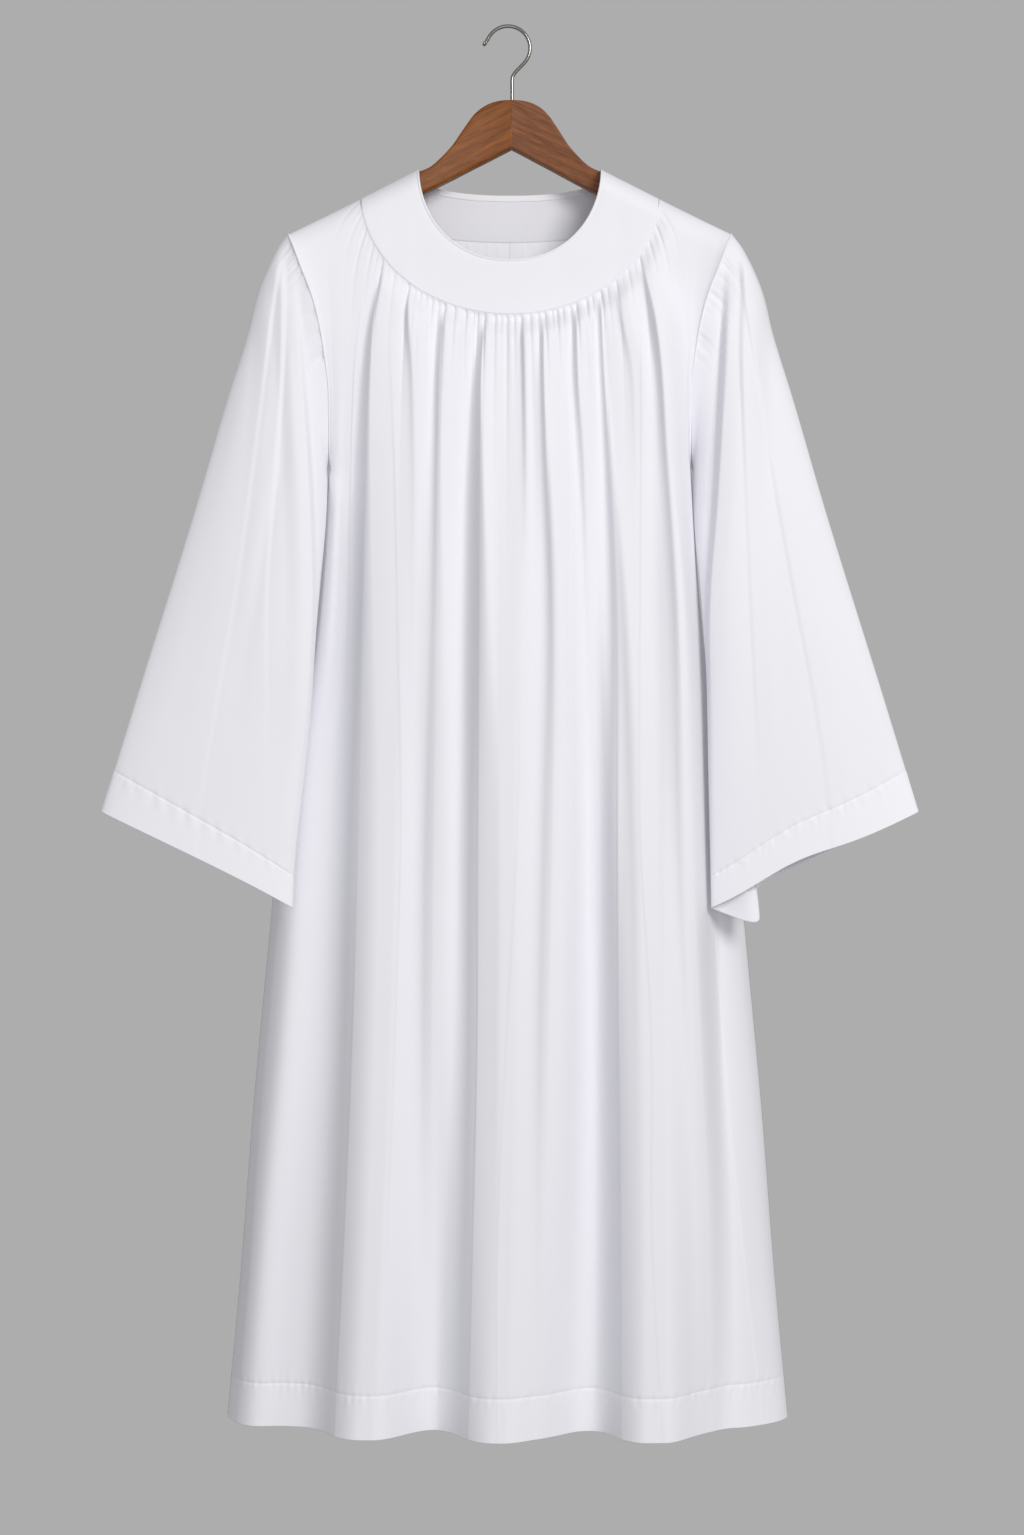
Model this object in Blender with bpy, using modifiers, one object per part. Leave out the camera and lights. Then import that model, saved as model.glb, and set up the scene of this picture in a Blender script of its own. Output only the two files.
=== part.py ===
"""A long white surplice hanging on a wooden coat hanger.

Run it with: blender --background --python part.py
X runs to the right, Y away from the front, Z up. The origin is where the hook rests on
its peg, inside the top of the wire. All sizes below are millimetres, and turned to metres
as each mesh is made.

The garment is a round yoke, a front skirt and two back skirts gathered to it, a strip of
neck facing, and two long bell sleeves. Each is a wall of cloth lofted through rows of
points that follow its seams, its hem and its folds.
"""

import bpy
import bmesh
import numpy as np
from math import pi

MM = 0.001

# Cloth walls and the gaps at the seams
CLOTH = 1.2
YOKE_CLOTH = 1.6
HEM_CLOTH = 1.9
SEAM_GAP = 0.4
EDGE_STRIP = 1.5
SLEEVE_OUTSET = 0.3
UNDERARM_OUTSET = 0.6

# Shoulders: the neck corner, the tip, and the line that slopes and sweeps forward between
NECK_HALF_WIDTH = 89.6
SHOULDER_TIP_X = 217.6
SHOULDER_TIP_HEIGHT = -214.8
SHOULDER_SLOPE = 0.545
ARM_SWEEP = 45.0
ARM_SWEEP_POWER = 1.5
SHOULDER_ROUND = 28.0

# Neck and yoke curves: depth below the shoulder corner at the middle
FRONT_NECK_DEPTH = 96.0
BACK_NECK_DEPTH = 18.5
NECK_POWER = 2.15
YOKE_HALF_WIDTH = 146.7
FRONT_YOKE_DEPTH = 119.0
BACK_YOKE_DEPTH = 35.0
YOKE_SHARE = 0.95
FACING_CLOTH = 1.0
FACING_WIDTH = 6.0
FACING_CLEARANCE = 1.8
FACING_REACH = 52.0

# Skirt
HEM_HEIGHT = -1396.0
HEM_WIDTH = 43.0
UNDERARM_HEIGHT = -445.0
BODY_SQUARENESS = 4.5
COLUMN_CROWDING = 0.38
COLUMN_SETTLE = 60.0
FOLD_LEAN = 4.0
FULL_FOLD = 62.0
STEEP_RISE = 0.04
GATHER_HEIGHT = 3.4
GATHER_RISE = 14.0
GATHER_FADE = 75.0
COLUMNS_PER_GATHER = 3
GATHER_UNEVENNESS = ((0.35, 1.7), (0.2, 4.4))
SKIRT_COLUMNS = 66
BACK_COLUMNS = 26
SEAM_COLUMN = 0.0015
SIDE_FADE = 0.06
CENTRE_FADE = 0.04

# The body, level by level. half_width is at the armhole or side seam; column_width is the
# smoother width that the cloth's columns spread over; front, edge and back are depths in Y:
# at the middle of the front, at the side (front and back edge), at the middle of the back.
BODY_LEVELS = np.array(
    [
        # height, half_width, column_width, front, front_edge, back_edge, back
        (-100.0, 217.6, 200.0, -52.0, -62.0, -8.0, 20.0),
        (-214.8, 217.6, 200.0, -55.0, -64.0, -8.0, 22.0),
        (-228.0, 212.0, 200.0, -56.0, -65.0, -5.0, 22.0),
        (-252.0, 203.0, 200.0, -57.0, -67.0, 0.0, 22.0),
        (-275.0, 194.0, 200.0, -58.0, -67.0, 3.0, 23.0),
        (-303.0, 186.5, 200.0, -59.0, -66.0, 5.0, 24.0),
        (-336.0, 181.0, 200.0, -60.0, -62.0, 5.0, 25.0),
        (-366.0, 177.5, 200.0, -60.0, -56.0, 2.0, 26.0),
        (-392.0, 177.0, 200.5, -60.0, -47.0, -3.0, 27.0),
        (-412.0, 181.0, 201.0, -60.0, -38.0, -9.0, 28.0),
        (-430.0, 187.5, 201.5, -60.0, -29.0, -15.0, 29.0),
        (-445.0, 194.0, 202.0, -60.0, -21.0, -21.0, 30.0),
        (-572.0, 207.0, 210.0, -57.0, -6.0, -6.0, 42.0),
        (-720.0, 221.0, 222.0, -52.0, 8.0, 8.0, 56.0),
        (-894.0, 238.0, 238.0, -46.0, 18.0, 18.0, 70.0),
        (-1090.0, 257.0, 257.0, -40.0, 28.0, 28.0, 84.0),
        (-1250.0, 270.0, 270.0, -35.0, 36.0, 36.0, 94.0),
        (-1396.0, 284.0, 284.0, -30.0, 43.0, 43.0, 102.0),
    ]
)

# Skirt folds. start and end are where the ridge begins and ends across the panel, from -1
# at one side seam to 1 at the other; rise and fall are the widths of its two flanks; hem,
# middle and top are how far it stands out at the hem, half way and below the gathers.
FRONT_FOLDS = np.array(
    [
        # start, end, rise, fall, hem, middle, top
        (-0.608, -0.405, 0.030, 0.070, 62.0, 38.0, 12.0),
        (-0.145, 0.030, 0.030, 0.060, 62.0, 38.0, 12.0),
        (0.382, 0.553, 0.030, 0.060, 61.0, 38.0, 12.0),
        (0.035, 0.240, 0.060, 0.090, 24.0, 14.0, 4.0),
        (0.640, 0.850, 0.070, 0.110, 13.0, 11.0, 8.0),
        (-0.840, -0.640, 0.100, 0.060, -15.0, -9.0, -3.0),
    ]
)
BACK_FOLDS = np.array(
    [
        # start, end, rise, fall, hem, middle, top
        (0.080, 0.260, 0.040, 0.100, 46.0, 32.0, 12.0),
        (0.500, 0.660, 0.040, 0.090, 50.0, 34.0, 12.0),
        (0.800, 0.880, 0.060, 0.080, 16.0, 12.0, 6.0),
    ]
)
FOLD_LEVELS = (-1396.0, -760.0, -400.0, -290.0)

# How far below the shoulder each row of a skirt runs: through the gathers with twice the
# columns, then down to the underarm, where a sleeve's ring has the same points, then below.
GATHER_ROWS = (0.0, EDGE_STRIP, 8.0, 20.0, 44.0)
SHOULDER_ROWS = (0.0, 0.3, 3.0, 20.0, 44.0)
ARMHOLE_ROWS = (80.0, 120.0, 158.0, 190.0, 214.0, 230.2)
SKIRT_ROWS = (320.0, 470.0, 680.0, 920.0)

# Sleeve edges from the armhole to the hem; share is how far along the sleeve.
SLEEVE_OUTER = np.array(
    [
        # share, x, y, height
        (0.000, 217.6, -45.0, -214.6),
        (0.020, 226.5, -45.0, -226.0),
        (0.045, 234.5, -44.5, -240.0),
        (0.090, 246.0, -44.0, -265.7),
        (0.175, 258.5, -43.0, -314.0),
        (0.280, 276.5, -41.0, -373.6),
        (0.460, 305.5, -38.0, -476.0),
        (0.806, 365.5, -35.0, -672.6),
        (1.000, 398.8, -34.0, -782.5),
    ]
)
SLEEVE_INNER = np.array(
    [
        # share, x, y, height
        (0.000, 194.0, -21.0, -445.0),
        (0.015, 199.0, -25.0, -451.0),
        (0.060, 202.0, -36.0, -471.0),
        (0.130, 200.0, -45.0, -501.0),
        (0.270, 193.0, -52.0, -562.0),
        (0.450, 192.5, -56.0, -640.0),
        (0.700, 194.0, -57.0, -748.0),
        (1.000, 196.0, -55.0, -877.0),
    ]
)
SLEEVE_SHARES = (0.0, 0.008, 0.025, 0.055, 0.1, 0.16, 0.25, 0.38, 0.54, 0.7, 0.83, 0.93, 1.0)
SLEEVE_SETTLE = 0.055
SLEEVE_BULGE_TOP = 26.0
SLEEVE_BULGE_HEM = 20.0

# What each sleeve's hem does by itself. turn is where round the sleeve, in half turns from the
# outer edge by the front; spread is how wide; start is the share of the sleeve where it begins.
HEM_MOVES = np.array(
    [
        # side, turn, spread, start, x, y, height
        (-1.0, 1.00, 0.35, 0.45, 16.0, 0.0, 0.0),
        (1.0, 1.17, 0.09, 0.55, 31.0, 8.0, -20.0),
        (1.0, 0.56, 0.15, 0.72, 0.0, 0.0, 8.0),
    ]
)

# Hanger: half of its outline, from the mitre outwards
HANGER_CENTRE_X = 1.6
HANGER_SECTIONS = np.array(
    [
        # distance, top, bottom, half_thickness, squareness
        (0.0, -73.0, -121.7, 8.0, 9.0),
        (12.3, -74.2, -128.2, 8.0, 9.0),
        (22.5, -77.6, -133.8, 8.0, 9.0),
        (31.4, -83.5, -138.6, 8.0, 9.0),
        (37.7, -90.0, -142.0, 8.0, 9.0),
        (44.0, -99.1, -145.5, 8.0, 9.0),
        (50.4, -108.9, -149.1, 8.0, 9.0),
        (56.7, -118.7, -152.6, 8.0, 9.0),
        (63.0, -126.4, -156.1, 8.0, 9.0),
        (69.3, -133.2, -159.6, 8.0, 8.0),
        (77.5, -140.8, -164.1, 8.2, 7.0),
        (89.6, -147.0, -170.5, 8.4, 5.0),
        (130.0, -168.9, -188.5, 9.0, 3.5),
        (170.0, -190.9, -207.5, 10.0, 2.7),
        (198.0, -207.2, -221.5, 10.5, 2.3),
        (208.0, -214.0, -224.5, 9.0, 2.1),
        (212.0, -217.0, -222.5, 5.0, 2.0),
    ]
)
SECTION_POINTS = 16
MITRE_GAP = 0.3
STEM_HOLE_RADIUS = 2.2
STEM_DEPTH = 24.0
BORE_OVERRUN = 10.0

# Hook
WIRE_RADIUS = 1.85
HOOK_RADIUS = 22.0
HOOK_CENTRE_X = -2.0
HOOK_START_ANGLE = 154.0
HOOK_END_ANGLE = -38.0
STEM_X = 2.1
BOW_POINTS = 26
HOOK_TIP = (
    # x, height, share of the wire's radius: a small ball, then the flick up to the bow
    (-27.4, -15.4, 1.2),
    (-26.4, -15.7, 1.57),
    (-25.4, -15.4, 1.4),
    (-24.4, -14.6, 1.0),
    (-23.0, -12.6, 1.0),
)
HOOK_NECK = (
    # x, height: the slanting neck and the bend into the stem
    (11.2, -38.2),
    (6.4, -43.2),
    (3.6, -46.8),
    (2.4, -49.4),
    (STEM_X, -52.5),
    (STEM_X, -60.0),
)

# Colours, linear light
WHITE_CLOTH = (0.83, 0.83, 0.88)
WALNUT_LIGHT = (0.30, 0.12, 0.035)
WALNUT_DARK = (0.22, 0.085, 0.04)
STEEL = (0.62, 0.60, 0.57)


def clear_scene():
    for thing in list(bpy.data.objects):
        bpy.data.objects.remove(thing, do_unlink=True)


def new_material(name, colour, roughness, metallic=0.0):
    material = bpy.data.materials.new(name)
    material.use_nodes = True
    shader = material.node_tree.nodes["Principled BSDF"]
    shader.inputs["Base Color"].default_value = (*colour, 1.0)
    shader.inputs["Roughness"].default_value = roughness
    shader.inputs["Metallic"].default_value = metallic
    return material


def smooth_curve(at, places, values):
    """A smooth curve through a table: cubic between rows, its slopes the mean of the rows' either side."""
    slope = np.gradient(values, places)
    at = np.clip(at, places[0], places[-1])
    row = np.clip(np.searchsorted(places, at, side="right") - 1, 0, len(places) - 2)
    gap = places[row + 1] - places[row]
    t = (at - places[row]) / gap
    start, end = values[row], values[row + 1]
    rise_start, rise_end = slope[row] * gap, slope[row + 1] * gap
    return (
        (2 * t**3 - 3 * t**2 + 1) * start
        + (t**3 - 2 * t**2 + t) * rise_start
        + (3 * t**2 - 2 * t**3) * end
        + (t**3 - t**2) * rise_end
    )


def body_level(column, height):
    """One column of BODY_LEVELS at any height."""
    table = BODY_LEVELS[::-1]
    return smooth_curve(height, table[:, 0], table[:, column])


def step(t):
    """Smooth step from 0 to 1 while t goes from 0 to 1."""
    t = np.clip(t, 0.0, 1.0)
    return t * t * (3 - 2 * t)


def ridge_height(x):
    """The top of the shoulder, which slopes down from the neck."""
    return SHOULDER_TIP_HEIGHT + SHOULDER_SLOPE * (SHOULDER_TIP_X - np.abs(x))


def ridge_depth(x):
    """The shoulder line sweeps forward with the hanger's arms."""
    return -ARM_SWEEP * (np.abs(x) / SHOULDER_TIP_X) ** ARM_SWEEP_POWER


def cloth_depth(x, height, back):
    """Depth of the unfolded cloth: a flat oval at each level, rounded over to the shoulder line."""
    half_width = body_level(1, height)
    middle = body_level(6 if back else 3, height)
    edge = body_level(5 if back else 4, height)
    seam = (body_level(4, height) + body_level(5, height)) / 2
    edge = np.where(height < UNDERARM_HEIGHT, seam, edge)
    across = np.clip(np.abs(x) / half_width, 0.0, 1.0)
    flat = edge + (middle - edge) * np.sqrt(1 - across**BODY_SQUARENESS)
    below = np.clip((ridge_height(x) - height) / SHOULDER_ROUND, 0.0, 1.0)
    rounding = np.sqrt(1 - (1 - below) ** 2)
    ridge = ridge_depth(x)
    side = SEAM_GAP / 2 if back else -SEAM_GAP / 2
    return ridge + (flat - ridge) * rounding + side


def neck_curve(angle, back):
    """x and height of the neck edge; the angle is 0 at the middle and pi/2 at the shoulder."""
    depth = BACK_NECK_DEPTH if back else FRONT_NECK_DEPTH
    power = 2 / NECK_POWER
    x = NECK_HALF_WIDTH * np.sign(angle) * np.abs(np.sin(angle)) ** power
    corner = ridge_height(NECK_HALF_WIDTH)
    return x, corner - depth * np.abs(np.cos(angle)) ** power


def yoke_curve(angle, back, outset=0.0):
    """x and height of the yoke's outer seam, or of a line set out from it."""
    depth = BACK_YOKE_DEPTH if back else FRONT_YOKE_DEPTH
    x = (YOKE_HALF_WIDTH + outset) * np.sin(angle)
    return x, ridge_height(YOKE_HALF_WIDTH) - (depth + outset) * np.cos(angle)


def panel_top(across, back):
    """Top edge of a skirt: the yoke seam, then the shoulder seam out to its tip."""
    share = np.abs(across)
    angle = np.minimum(share / YOKE_SHARE, 1.0) * pi / 2
    x, height = yoke_curve(angle, back, SEAM_GAP)
    beyond = np.clip((share - YOKE_SHARE) / (1 - YOKE_SHARE), 0.0, 1.0)
    x = x + (SHOULDER_TIP_X - YOKE_HALF_WIDTH - SEAM_GAP) * beyond
    on_shoulder = share > YOKE_SHARE
    return x * np.sign(across), np.where(on_shoulder, ridge_height(x), height)


def column_place(share, height):
    """How far out a column hangs: crowded to the side above, even at the hem.

    The outer columns bend to meet the armhole and the side seam.
    """
    crowding = COLUMN_CROWDING * np.clip((height - HEM_HEIGHT) / (UNDERARM_HEIGHT - HEM_HEIGHT), 0.0, 1.0)
    width = body_level(2, height)
    bend = (body_level(1, height) - width) * share**4
    return width * (share + crowding * share * (1 - share)) + bend


def fold_relief(across, height, folds):
    """How far the folds stand out, and how far they lean over their steep flank."""
    outward = np.zeros(np.broadcast(across, height).shape)
    hem, middle, top, seam = FOLD_LEVELS
    for start, end, rise, fall, at_hem, at_middle, at_top in folds:
        levels = np.array((hem, middle, top, seam))
        reach = np.interp(height, levels, (at_hem, at_middle, at_top, 0.0))
        up = step((across - start + rise / 2) / rise)
        down = 1 - step((across - end + fall / 2) / fall)
        outward = outward + reach * up * down
    return outward


def panel_row(across, below, phase, folds, back):
    """Points of a skirt at one distance below its top edge.

    Each column starts on the seam above and soon hangs straight. Depth is the unfolded
    cloth, moved out by the long folds and by the gathers, which start flat at the seam,
    stand up within a few centimetres and die away below.
    """
    top_x, top_height = panel_top(across, back)
    share = np.abs(across)
    height = top_height - below
    offset = np.abs(top_x) - column_place(share, top_height)
    settle = np.exp(-below / COLUMN_SETTLE)
    x = np.sign(across) * (column_place(share, height) + offset * settle)
    depth = cloth_depth(x, height, back)
    gather = GATHER_HEIGHT * phase * step(below / GATHER_RISE) * np.exp(-below / GATHER_FADE)
    fade = step((1 - share) / SIDE_FADE) * (step(share / CENTRE_FADE) if back else 1.0)
    outward = fold_relief(across, height, folds) * fade
    x = x - FOLD_LEAN * outward / FULL_FOLD
    outward = outward + gather * fade * (share < YOKE_SHARE)
    return np.stack([x, depth + (1 if back else -1) * outward, height], axis=1)


def snap_columns(across, folds):
    """Moves the columns nearest each steep flank onto its two edges."""
    across = across.copy()
    for start, _end, rise, *_rest in folds[folds[:, 2] <= STEEP_RISE]:
        nearest = np.argmin(np.abs(across[:-1] - (start - rise / 2)))
        across[nearest] = start - rise / 2
        across[nearest + 1] = start + rise / 2
    return across


def with_midpoints(values):
    """The values with one more between each two."""
    fine = np.empty(2 * len(values) - 1)
    fine[::2] = values
    fine[1::2] = (values[1:] + values[:-1]) / 2
    return fine


def loft_faces(counts, closed):
    """Faces between rows of points; a row may have twice the columns of the row below it."""
    faces = []
    start = 0
    for above, below in zip(counts[:-1], counts[1:]):
        lower = start + above
        spans = below if closed else below - 1
        for j in range(spans):
            k = (j + 1) % below
            if above == below:
                faces.append((start + j, start + k, lower + k, lower + j))
            else:
                left, middle = start + 2 * j, start + 2 * j + 1
                right = start + (2 * j + 2) % above
                faces.append((left, middle, lower + j))
                faces.append((middle, lower + k, lower + j))
                faces.append((middle, right, lower + k))
        start = lower
    return faces


def cloth_wall(name, rows, material, thickness, collection, closed=False, hem_rows=0):
    """A wall of cloth lofted through rows of points and given its thickness, more at a turned hem."""
    mesh = bpy.data.meshes.new(name)
    counts = [len(row) for row in rows]
    points = np.concatenate(rows) * MM
    mesh.from_pydata(points.tolist(), [], loft_faces(counts, closed))
    mesh.shade_smooth()
    piece = bpy.data.objects.new(name, mesh)
    collection.objects.link(piece)
    mesh.materials.append(material)
    wall = piece.modifiers.new("wall", "SOLIDIFY")
    wall.offset = 0.0
    wall.thickness = thickness * MM
    if hem_rows:
        wall.thickness = HEM_CLOTH * MM
        weights = piece.vertex_groups.new(name="hem")
        last = len(points) - sum(counts[-hem_rows:])
        weights.add(list(range(last, len(points))), 1.0, "REPLACE")
        wall.vertex_group = "hem"
        wall.thickness_vertex_group = thickness / HEM_CLOTH
    return piece


def panel_rows(columns, folds, back):
    """Rows for a skirt: fine ones through the gathers, coarser ones below, two at the hem."""
    fine = with_midpoints(columns)
    place = np.arange(len(fine))
    wave = np.cos(2 * pi * place / COLUMNS_PER_GATHER)
    gather = place // COLUMNS_PER_GATHER
    phase = wave * (1 + sum(amount * np.sin(pace * gather) for amount, pace in GATHER_UNEVENNESS))
    on_shoulder = np.abs(fine) > YOKE_SHARE - 0.001
    rows = []
    for below_seam, below_ridge in zip(GATHER_ROWS, SHOULDER_ROWS):
        distance = np.where(on_shoulder, below_ridge, below_seam)
        rows.append(panel_row(fine, distance, phase, folds, back))
    for distance in ARMHOLE_ROWS + SKIRT_ROWS:
        rows.append(panel_row(columns, distance, phase[::2], folds, back))
    _x, top = panel_top(columns, back)
    for above_hem in (HEM_WIDTH + 70.0, HEM_WIDTH + 1.0, HEM_WIDTH, 0.0):
        rows.append(panel_row(columns, top - HEM_HEIGHT - above_hem, phase[::2], folds, back))
    return rows


def skirt_columns(count, low):
    """Even columns from one side seam to the other, or from the middle, with a narrow one at each seam."""
    columns = np.linspace(low, 1.0, count + 1)
    inner = columns[1:-1]
    return np.concatenate([[low, low + SEAM_COLUMN], inner, [1 - SEAM_COLUMN, 1.0]])


def make_skirts(material, collection):
    columns = snap_columns(skirt_columns(SKIRT_COLUMNS, -1.0), FRONT_FOLDS)
    rows = panel_rows(columns, FRONT_FOLDS, False)
    cloth_wall("front_panel", rows, material, CLOTH, collection, hem_rows=2)
    columns = snap_columns(skirt_columns(BACK_COLUMNS, 0.0), BACK_FOLDS)
    for side, name in ((-1, "back_panel_left"), (1, "back_panel_right")):
        rows = panel_rows(columns, BACK_FOLDS, True)
        for row in rows:
            row[:, 0] = side * (row[:, 0] + SEAM_GAP / 2)
        cloth_wall(name, rows, material, CLOTH, collection, hem_rows=2)


def yoke_angles(low):
    """Angles round the yoke, close together where it turns over the shoulder."""
    ends = np.radians([50.0, 62.0, 72.0, 79.0, 84.0, 87.5, 89.3, 89.87, 90.0])
    middle = np.radians(np.arange(0.0, 50.0, 10.0))
    half = np.concatenate([middle, ends])
    return np.concatenate([-half[:0:-1], half]) if low < 0 else half


def yoke_rows(angles, back, shares):
    """Rows from the neck edge out to the gathered seam."""
    neck_x, neck_height = neck_curve(angles, back)
    seam_x, seam_height = yoke_curve(angles, back)
    rows = []
    for share in shares:
        x = neck_x + (seam_x - neck_x) * share
        height = neck_height + (seam_height - neck_height) * share
        rows.append(np.stack([x, cloth_depth(x, height, back), height], axis=1))
    return rows


def make_yokes(material, collection):
    shares = (0.0, 0.03, 0.25, 0.5, 0.75, 0.97, 1.0)
    rows = yoke_rows(yoke_angles(-1.0), False, shares)
    cloth_wall("yoke_front", rows, material, YOKE_CLOTH, collection)
    for side, name in ((-1, "yoke_back_left"), (1, "yoke_back_right")):
        rows = yoke_rows(yoke_angles(0.0), True, shares)
        for row in rows:
            row[:, 0] = side * (row[:, 0] + SEAM_GAP / 2)
        cloth_wall(name, rows, material, YOKE_CLOTH, collection)


def make_neck_facing(material, collection):
    """The strip inside the back neck: the yoke's own points, moved in by its clearance."""
    angles = np.radians(np.linspace(-FACING_REACH, FACING_REACH, 19))
    neck_x, neck_height = neck_curve(angles, True)
    rows = []
    for down in (0.3, FACING_WIDTH / 2, FACING_WIDTH):
        height = neck_height - down
        depth = cloth_depth(neck_x, height, True) - FACING_CLEARANCE
        rows.append(np.stack([neck_x, depth, height], axis=1))
    cloth_wall("neck_facing", rows, material, FACING_CLOTH, collection)


def sleeve_edge(table, share):
    return np.array([np.interp(share, table[:, 0], table[:, k]) for k in (1, 2, 3)])


def ring_turns():
    """Turns round the armhole from the shoulder tip, one for each row of the skirts beside it."""
    drops = np.array(SHOULDER_ROWS + ARMHOLE_ROWS) / (SHOULDER_TIP_HEIGHT - UNDERARM_HEIGHT)
    front = np.arccos(1 - 2 * drops)
    return np.concatenate([front, 2 * pi - front[-2:0:-1]])


def armhole_ring(turn):
    """The armhole loop from the shoulder tip, down the front to the underarm and up the back."""
    across = (1 - np.cos(turn)) / 2
    height = SHOULDER_TIP_HEIGHT + (UNDERARM_HEIGHT - SHOULDER_TIP_HEIGHT) * across
    x = body_level(1, height)
    front = cloth_depth(x, height, False)
    back = cloth_depth(x, height, True)
    return np.stack([x, np.where(turn <= pi, front, back), height], axis=1)


def flat_ring(turn, share, bulge):
    """A flat oval between the sleeve's outer and inner edges, its two layers bulge apart."""
    outer = sleeve_edge(SLEEVE_OUTER, share)
    inner = sleeve_edge(SLEEVE_INNER, share)
    across = ((1 - np.cos(turn)) / 2)[:, None]
    ring = outer + (inner - outer) * across
    ring[:, 1] -= np.sin(turn) * bulge
    return ring


def sleeve_rows(side):
    """Rings down one sleeve: the armhole loop fades into a flat hanging oval.

    HEM_MOVES then swings the left hem out from the skirt, and on the right lifts the front
    layer and turns the seam corner in behind it.
    """
    turn = ring_turns()
    seam = armhole_ring(turn)
    offset = seam - flat_ring(turn, 0.0, SLEEVE_BULGE_TOP)
    low = np.sin(turn / 2) ** 2
    outset_x = SEAM_GAP + SLEEVE_OUTSET + UNDERARM_OUTSET * low
    outset = np.stack([outset_x, 0 * turn, UNDERARM_OUTSET * low**4], axis=1)
    rows = []
    for share in SLEEVE_SHARES:
        bulge = SLEEVE_BULGE_TOP + (SLEEVE_BULGE_HEM - SLEEVE_BULGE_TOP) * share
        ring = flat_ring(turn, share, bulge) + offset * np.exp(-share / SLEEVE_SETTLE) + outset
        for _side, place, spread, start, *move in HEM_MOVES[HEM_MOVES[:, 0] == side]:
            pull = np.exp(-(((turn / pi - place) / spread) ** 2))
            ring += np.outer(pull * step((share - start) / (1 - start)), move)
        ring[:, 0] *= side
        rows.append(ring)
    return rows


def make_sleeves(material, collection):
    for side, name in ((-1, "sleeve_left"), (1, "sleeve_right")):
        rows = sleeve_rows(side)
        cloth_wall(name, rows, material, CLOTH, collection, closed=True, hem_rows=1)


def hanger_section(distance, top, bottom, half_thickness, squareness):
    """One upright slice of an arm: a superellipse, nearly square at the mitre, oval at the end."""
    turn = np.arange(SECTION_POINTS) * 2 * pi / SECTION_POINTS
    power = 2 / squareness
    y = half_thickness * np.sign(np.cos(turn)) * np.abs(np.cos(turn)) ** power
    height = (top - bottom) / 2 * np.sign(np.sin(turn)) * np.abs(np.sin(turn)) ** power
    return np.stack([distance + 0 * y, y + ridge_depth(distance), height + (top + bottom) / 2], axis=1)


def make_hanger_arm(side, name, material, collection, hole):
    """An arm lofted through its sections, capped at both ends, with half of the bore for the stem."""
    mesh = bpy.data.meshes.new(name)
    shape = bmesh.new()
    rings = []
    for section in HANGER_SECTIONS:
        points = hanger_section(*section)
        centre = HANGER_CENTRE_X * step(1 - section[0] / NECK_HALF_WIDTH)
        points[:, 0] = centre + side * (points[:, 0] + MITRE_GAP / 2)
        rings.append([shape.verts.new(point) for point in points * MM])
    for ring, beyond in zip(rings[:-1], rings[1:]):
        for j in range(SECTION_POINTS):
            k = (j + 1) % SECTION_POINTS
            shape.faces.new((ring[j], ring[k], beyond[k], beyond[j]))
    shape.faces.new(rings[0])
    shape.faces.new(rings[-1])
    bmesh.ops.recalc_face_normals(shape, faces=shape.faces)
    shape.to_mesh(mesh)
    shape.free()
    mesh.shade_smooth()
    mesh.set_sharp_from_angle(angle=0.6)
    arm = bpy.data.objects.new(name, mesh)
    collection.objects.link(arm)
    mesh.materials.append(material)
    bore = arm.modifiers.new("bore for the stem", "BOOLEAN")
    bore.operation = "DIFFERENCE"
    bore.object = hole


def make_hanger(light, dark, parts, cutters):
    depth = STEM_DEPTH + BORE_OVERRUN
    bpy.ops.mesh.primitive_cylinder_add(vertices=24, radius=STEM_HOLE_RADIUS * MM, depth=depth * MM)
    hole = bpy.context.active_object
    hole.name = "stem_bore_cutter"
    top = HANGER_SECTIONS[0][1]
    hole.location = (STEM_X * MM, 0.0, (top + BORE_OVERRUN - depth / 2) * MM)
    hole.hide_render = True
    hole.display_type = "WIRE"
    for owner in hole.users_collection:
        owner.objects.unlink(hole)
    cutters.objects.link(hole)
    make_hanger_arm(-1, "hanger_arm_left", light, parts, hole)
    make_hanger_arm(1, "hanger_arm_right", dark, parts, hole)


def hook_path():
    """The wire's middle line: a flick and a ball at the tip, the bow, a slanting neck, the stem."""
    centre_height = WIRE_RADIUS - HOOK_RADIUS
    angles = np.radians(np.linspace(HOOK_START_ANGLE, HOOK_END_ANGLE, BOW_POINTS))
    bow_x = HOOK_CENTRE_X + HOOK_RADIUS * np.cos(angles)
    bow_height = centre_height + HOOK_RADIUS * np.sin(angles)
    stem_top = HANGER_SECTIONS[0][1]
    stem = [(STEM_X, stem_top + WIRE_RADIUS), (STEM_X, stem_top - STEM_DEPTH + SEAM_GAP)]
    wire = list(zip(bow_x[1:], bow_height[1:])) + list(HOOK_NECK) + stem
    return list(HOOK_TIP) + [(x, height, 1.0) for x, height in wire]


def make_hook(material, collection):
    path = hook_path()
    curve = bpy.data.curves.new("hanger_hook", "CURVE")
    curve.dimensions = "3D"
    curve.bevel_depth = WIRE_RADIUS * MM
    curve.bevel_resolution = 2
    curve.use_fill_caps = True
    spline = curve.splines.new("POLY")
    spline.points.add(len(path) - 1)
    for point, (x, z, radius) in zip(spline.points, path):
        point.co = (x * MM, 0.0, z * MM, 1.0)
        point.radius = radius
    hook = bpy.data.objects.new("hanger_hook", curve)
    collection.objects.link(hook)
    curve.materials.append(material)


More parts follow.
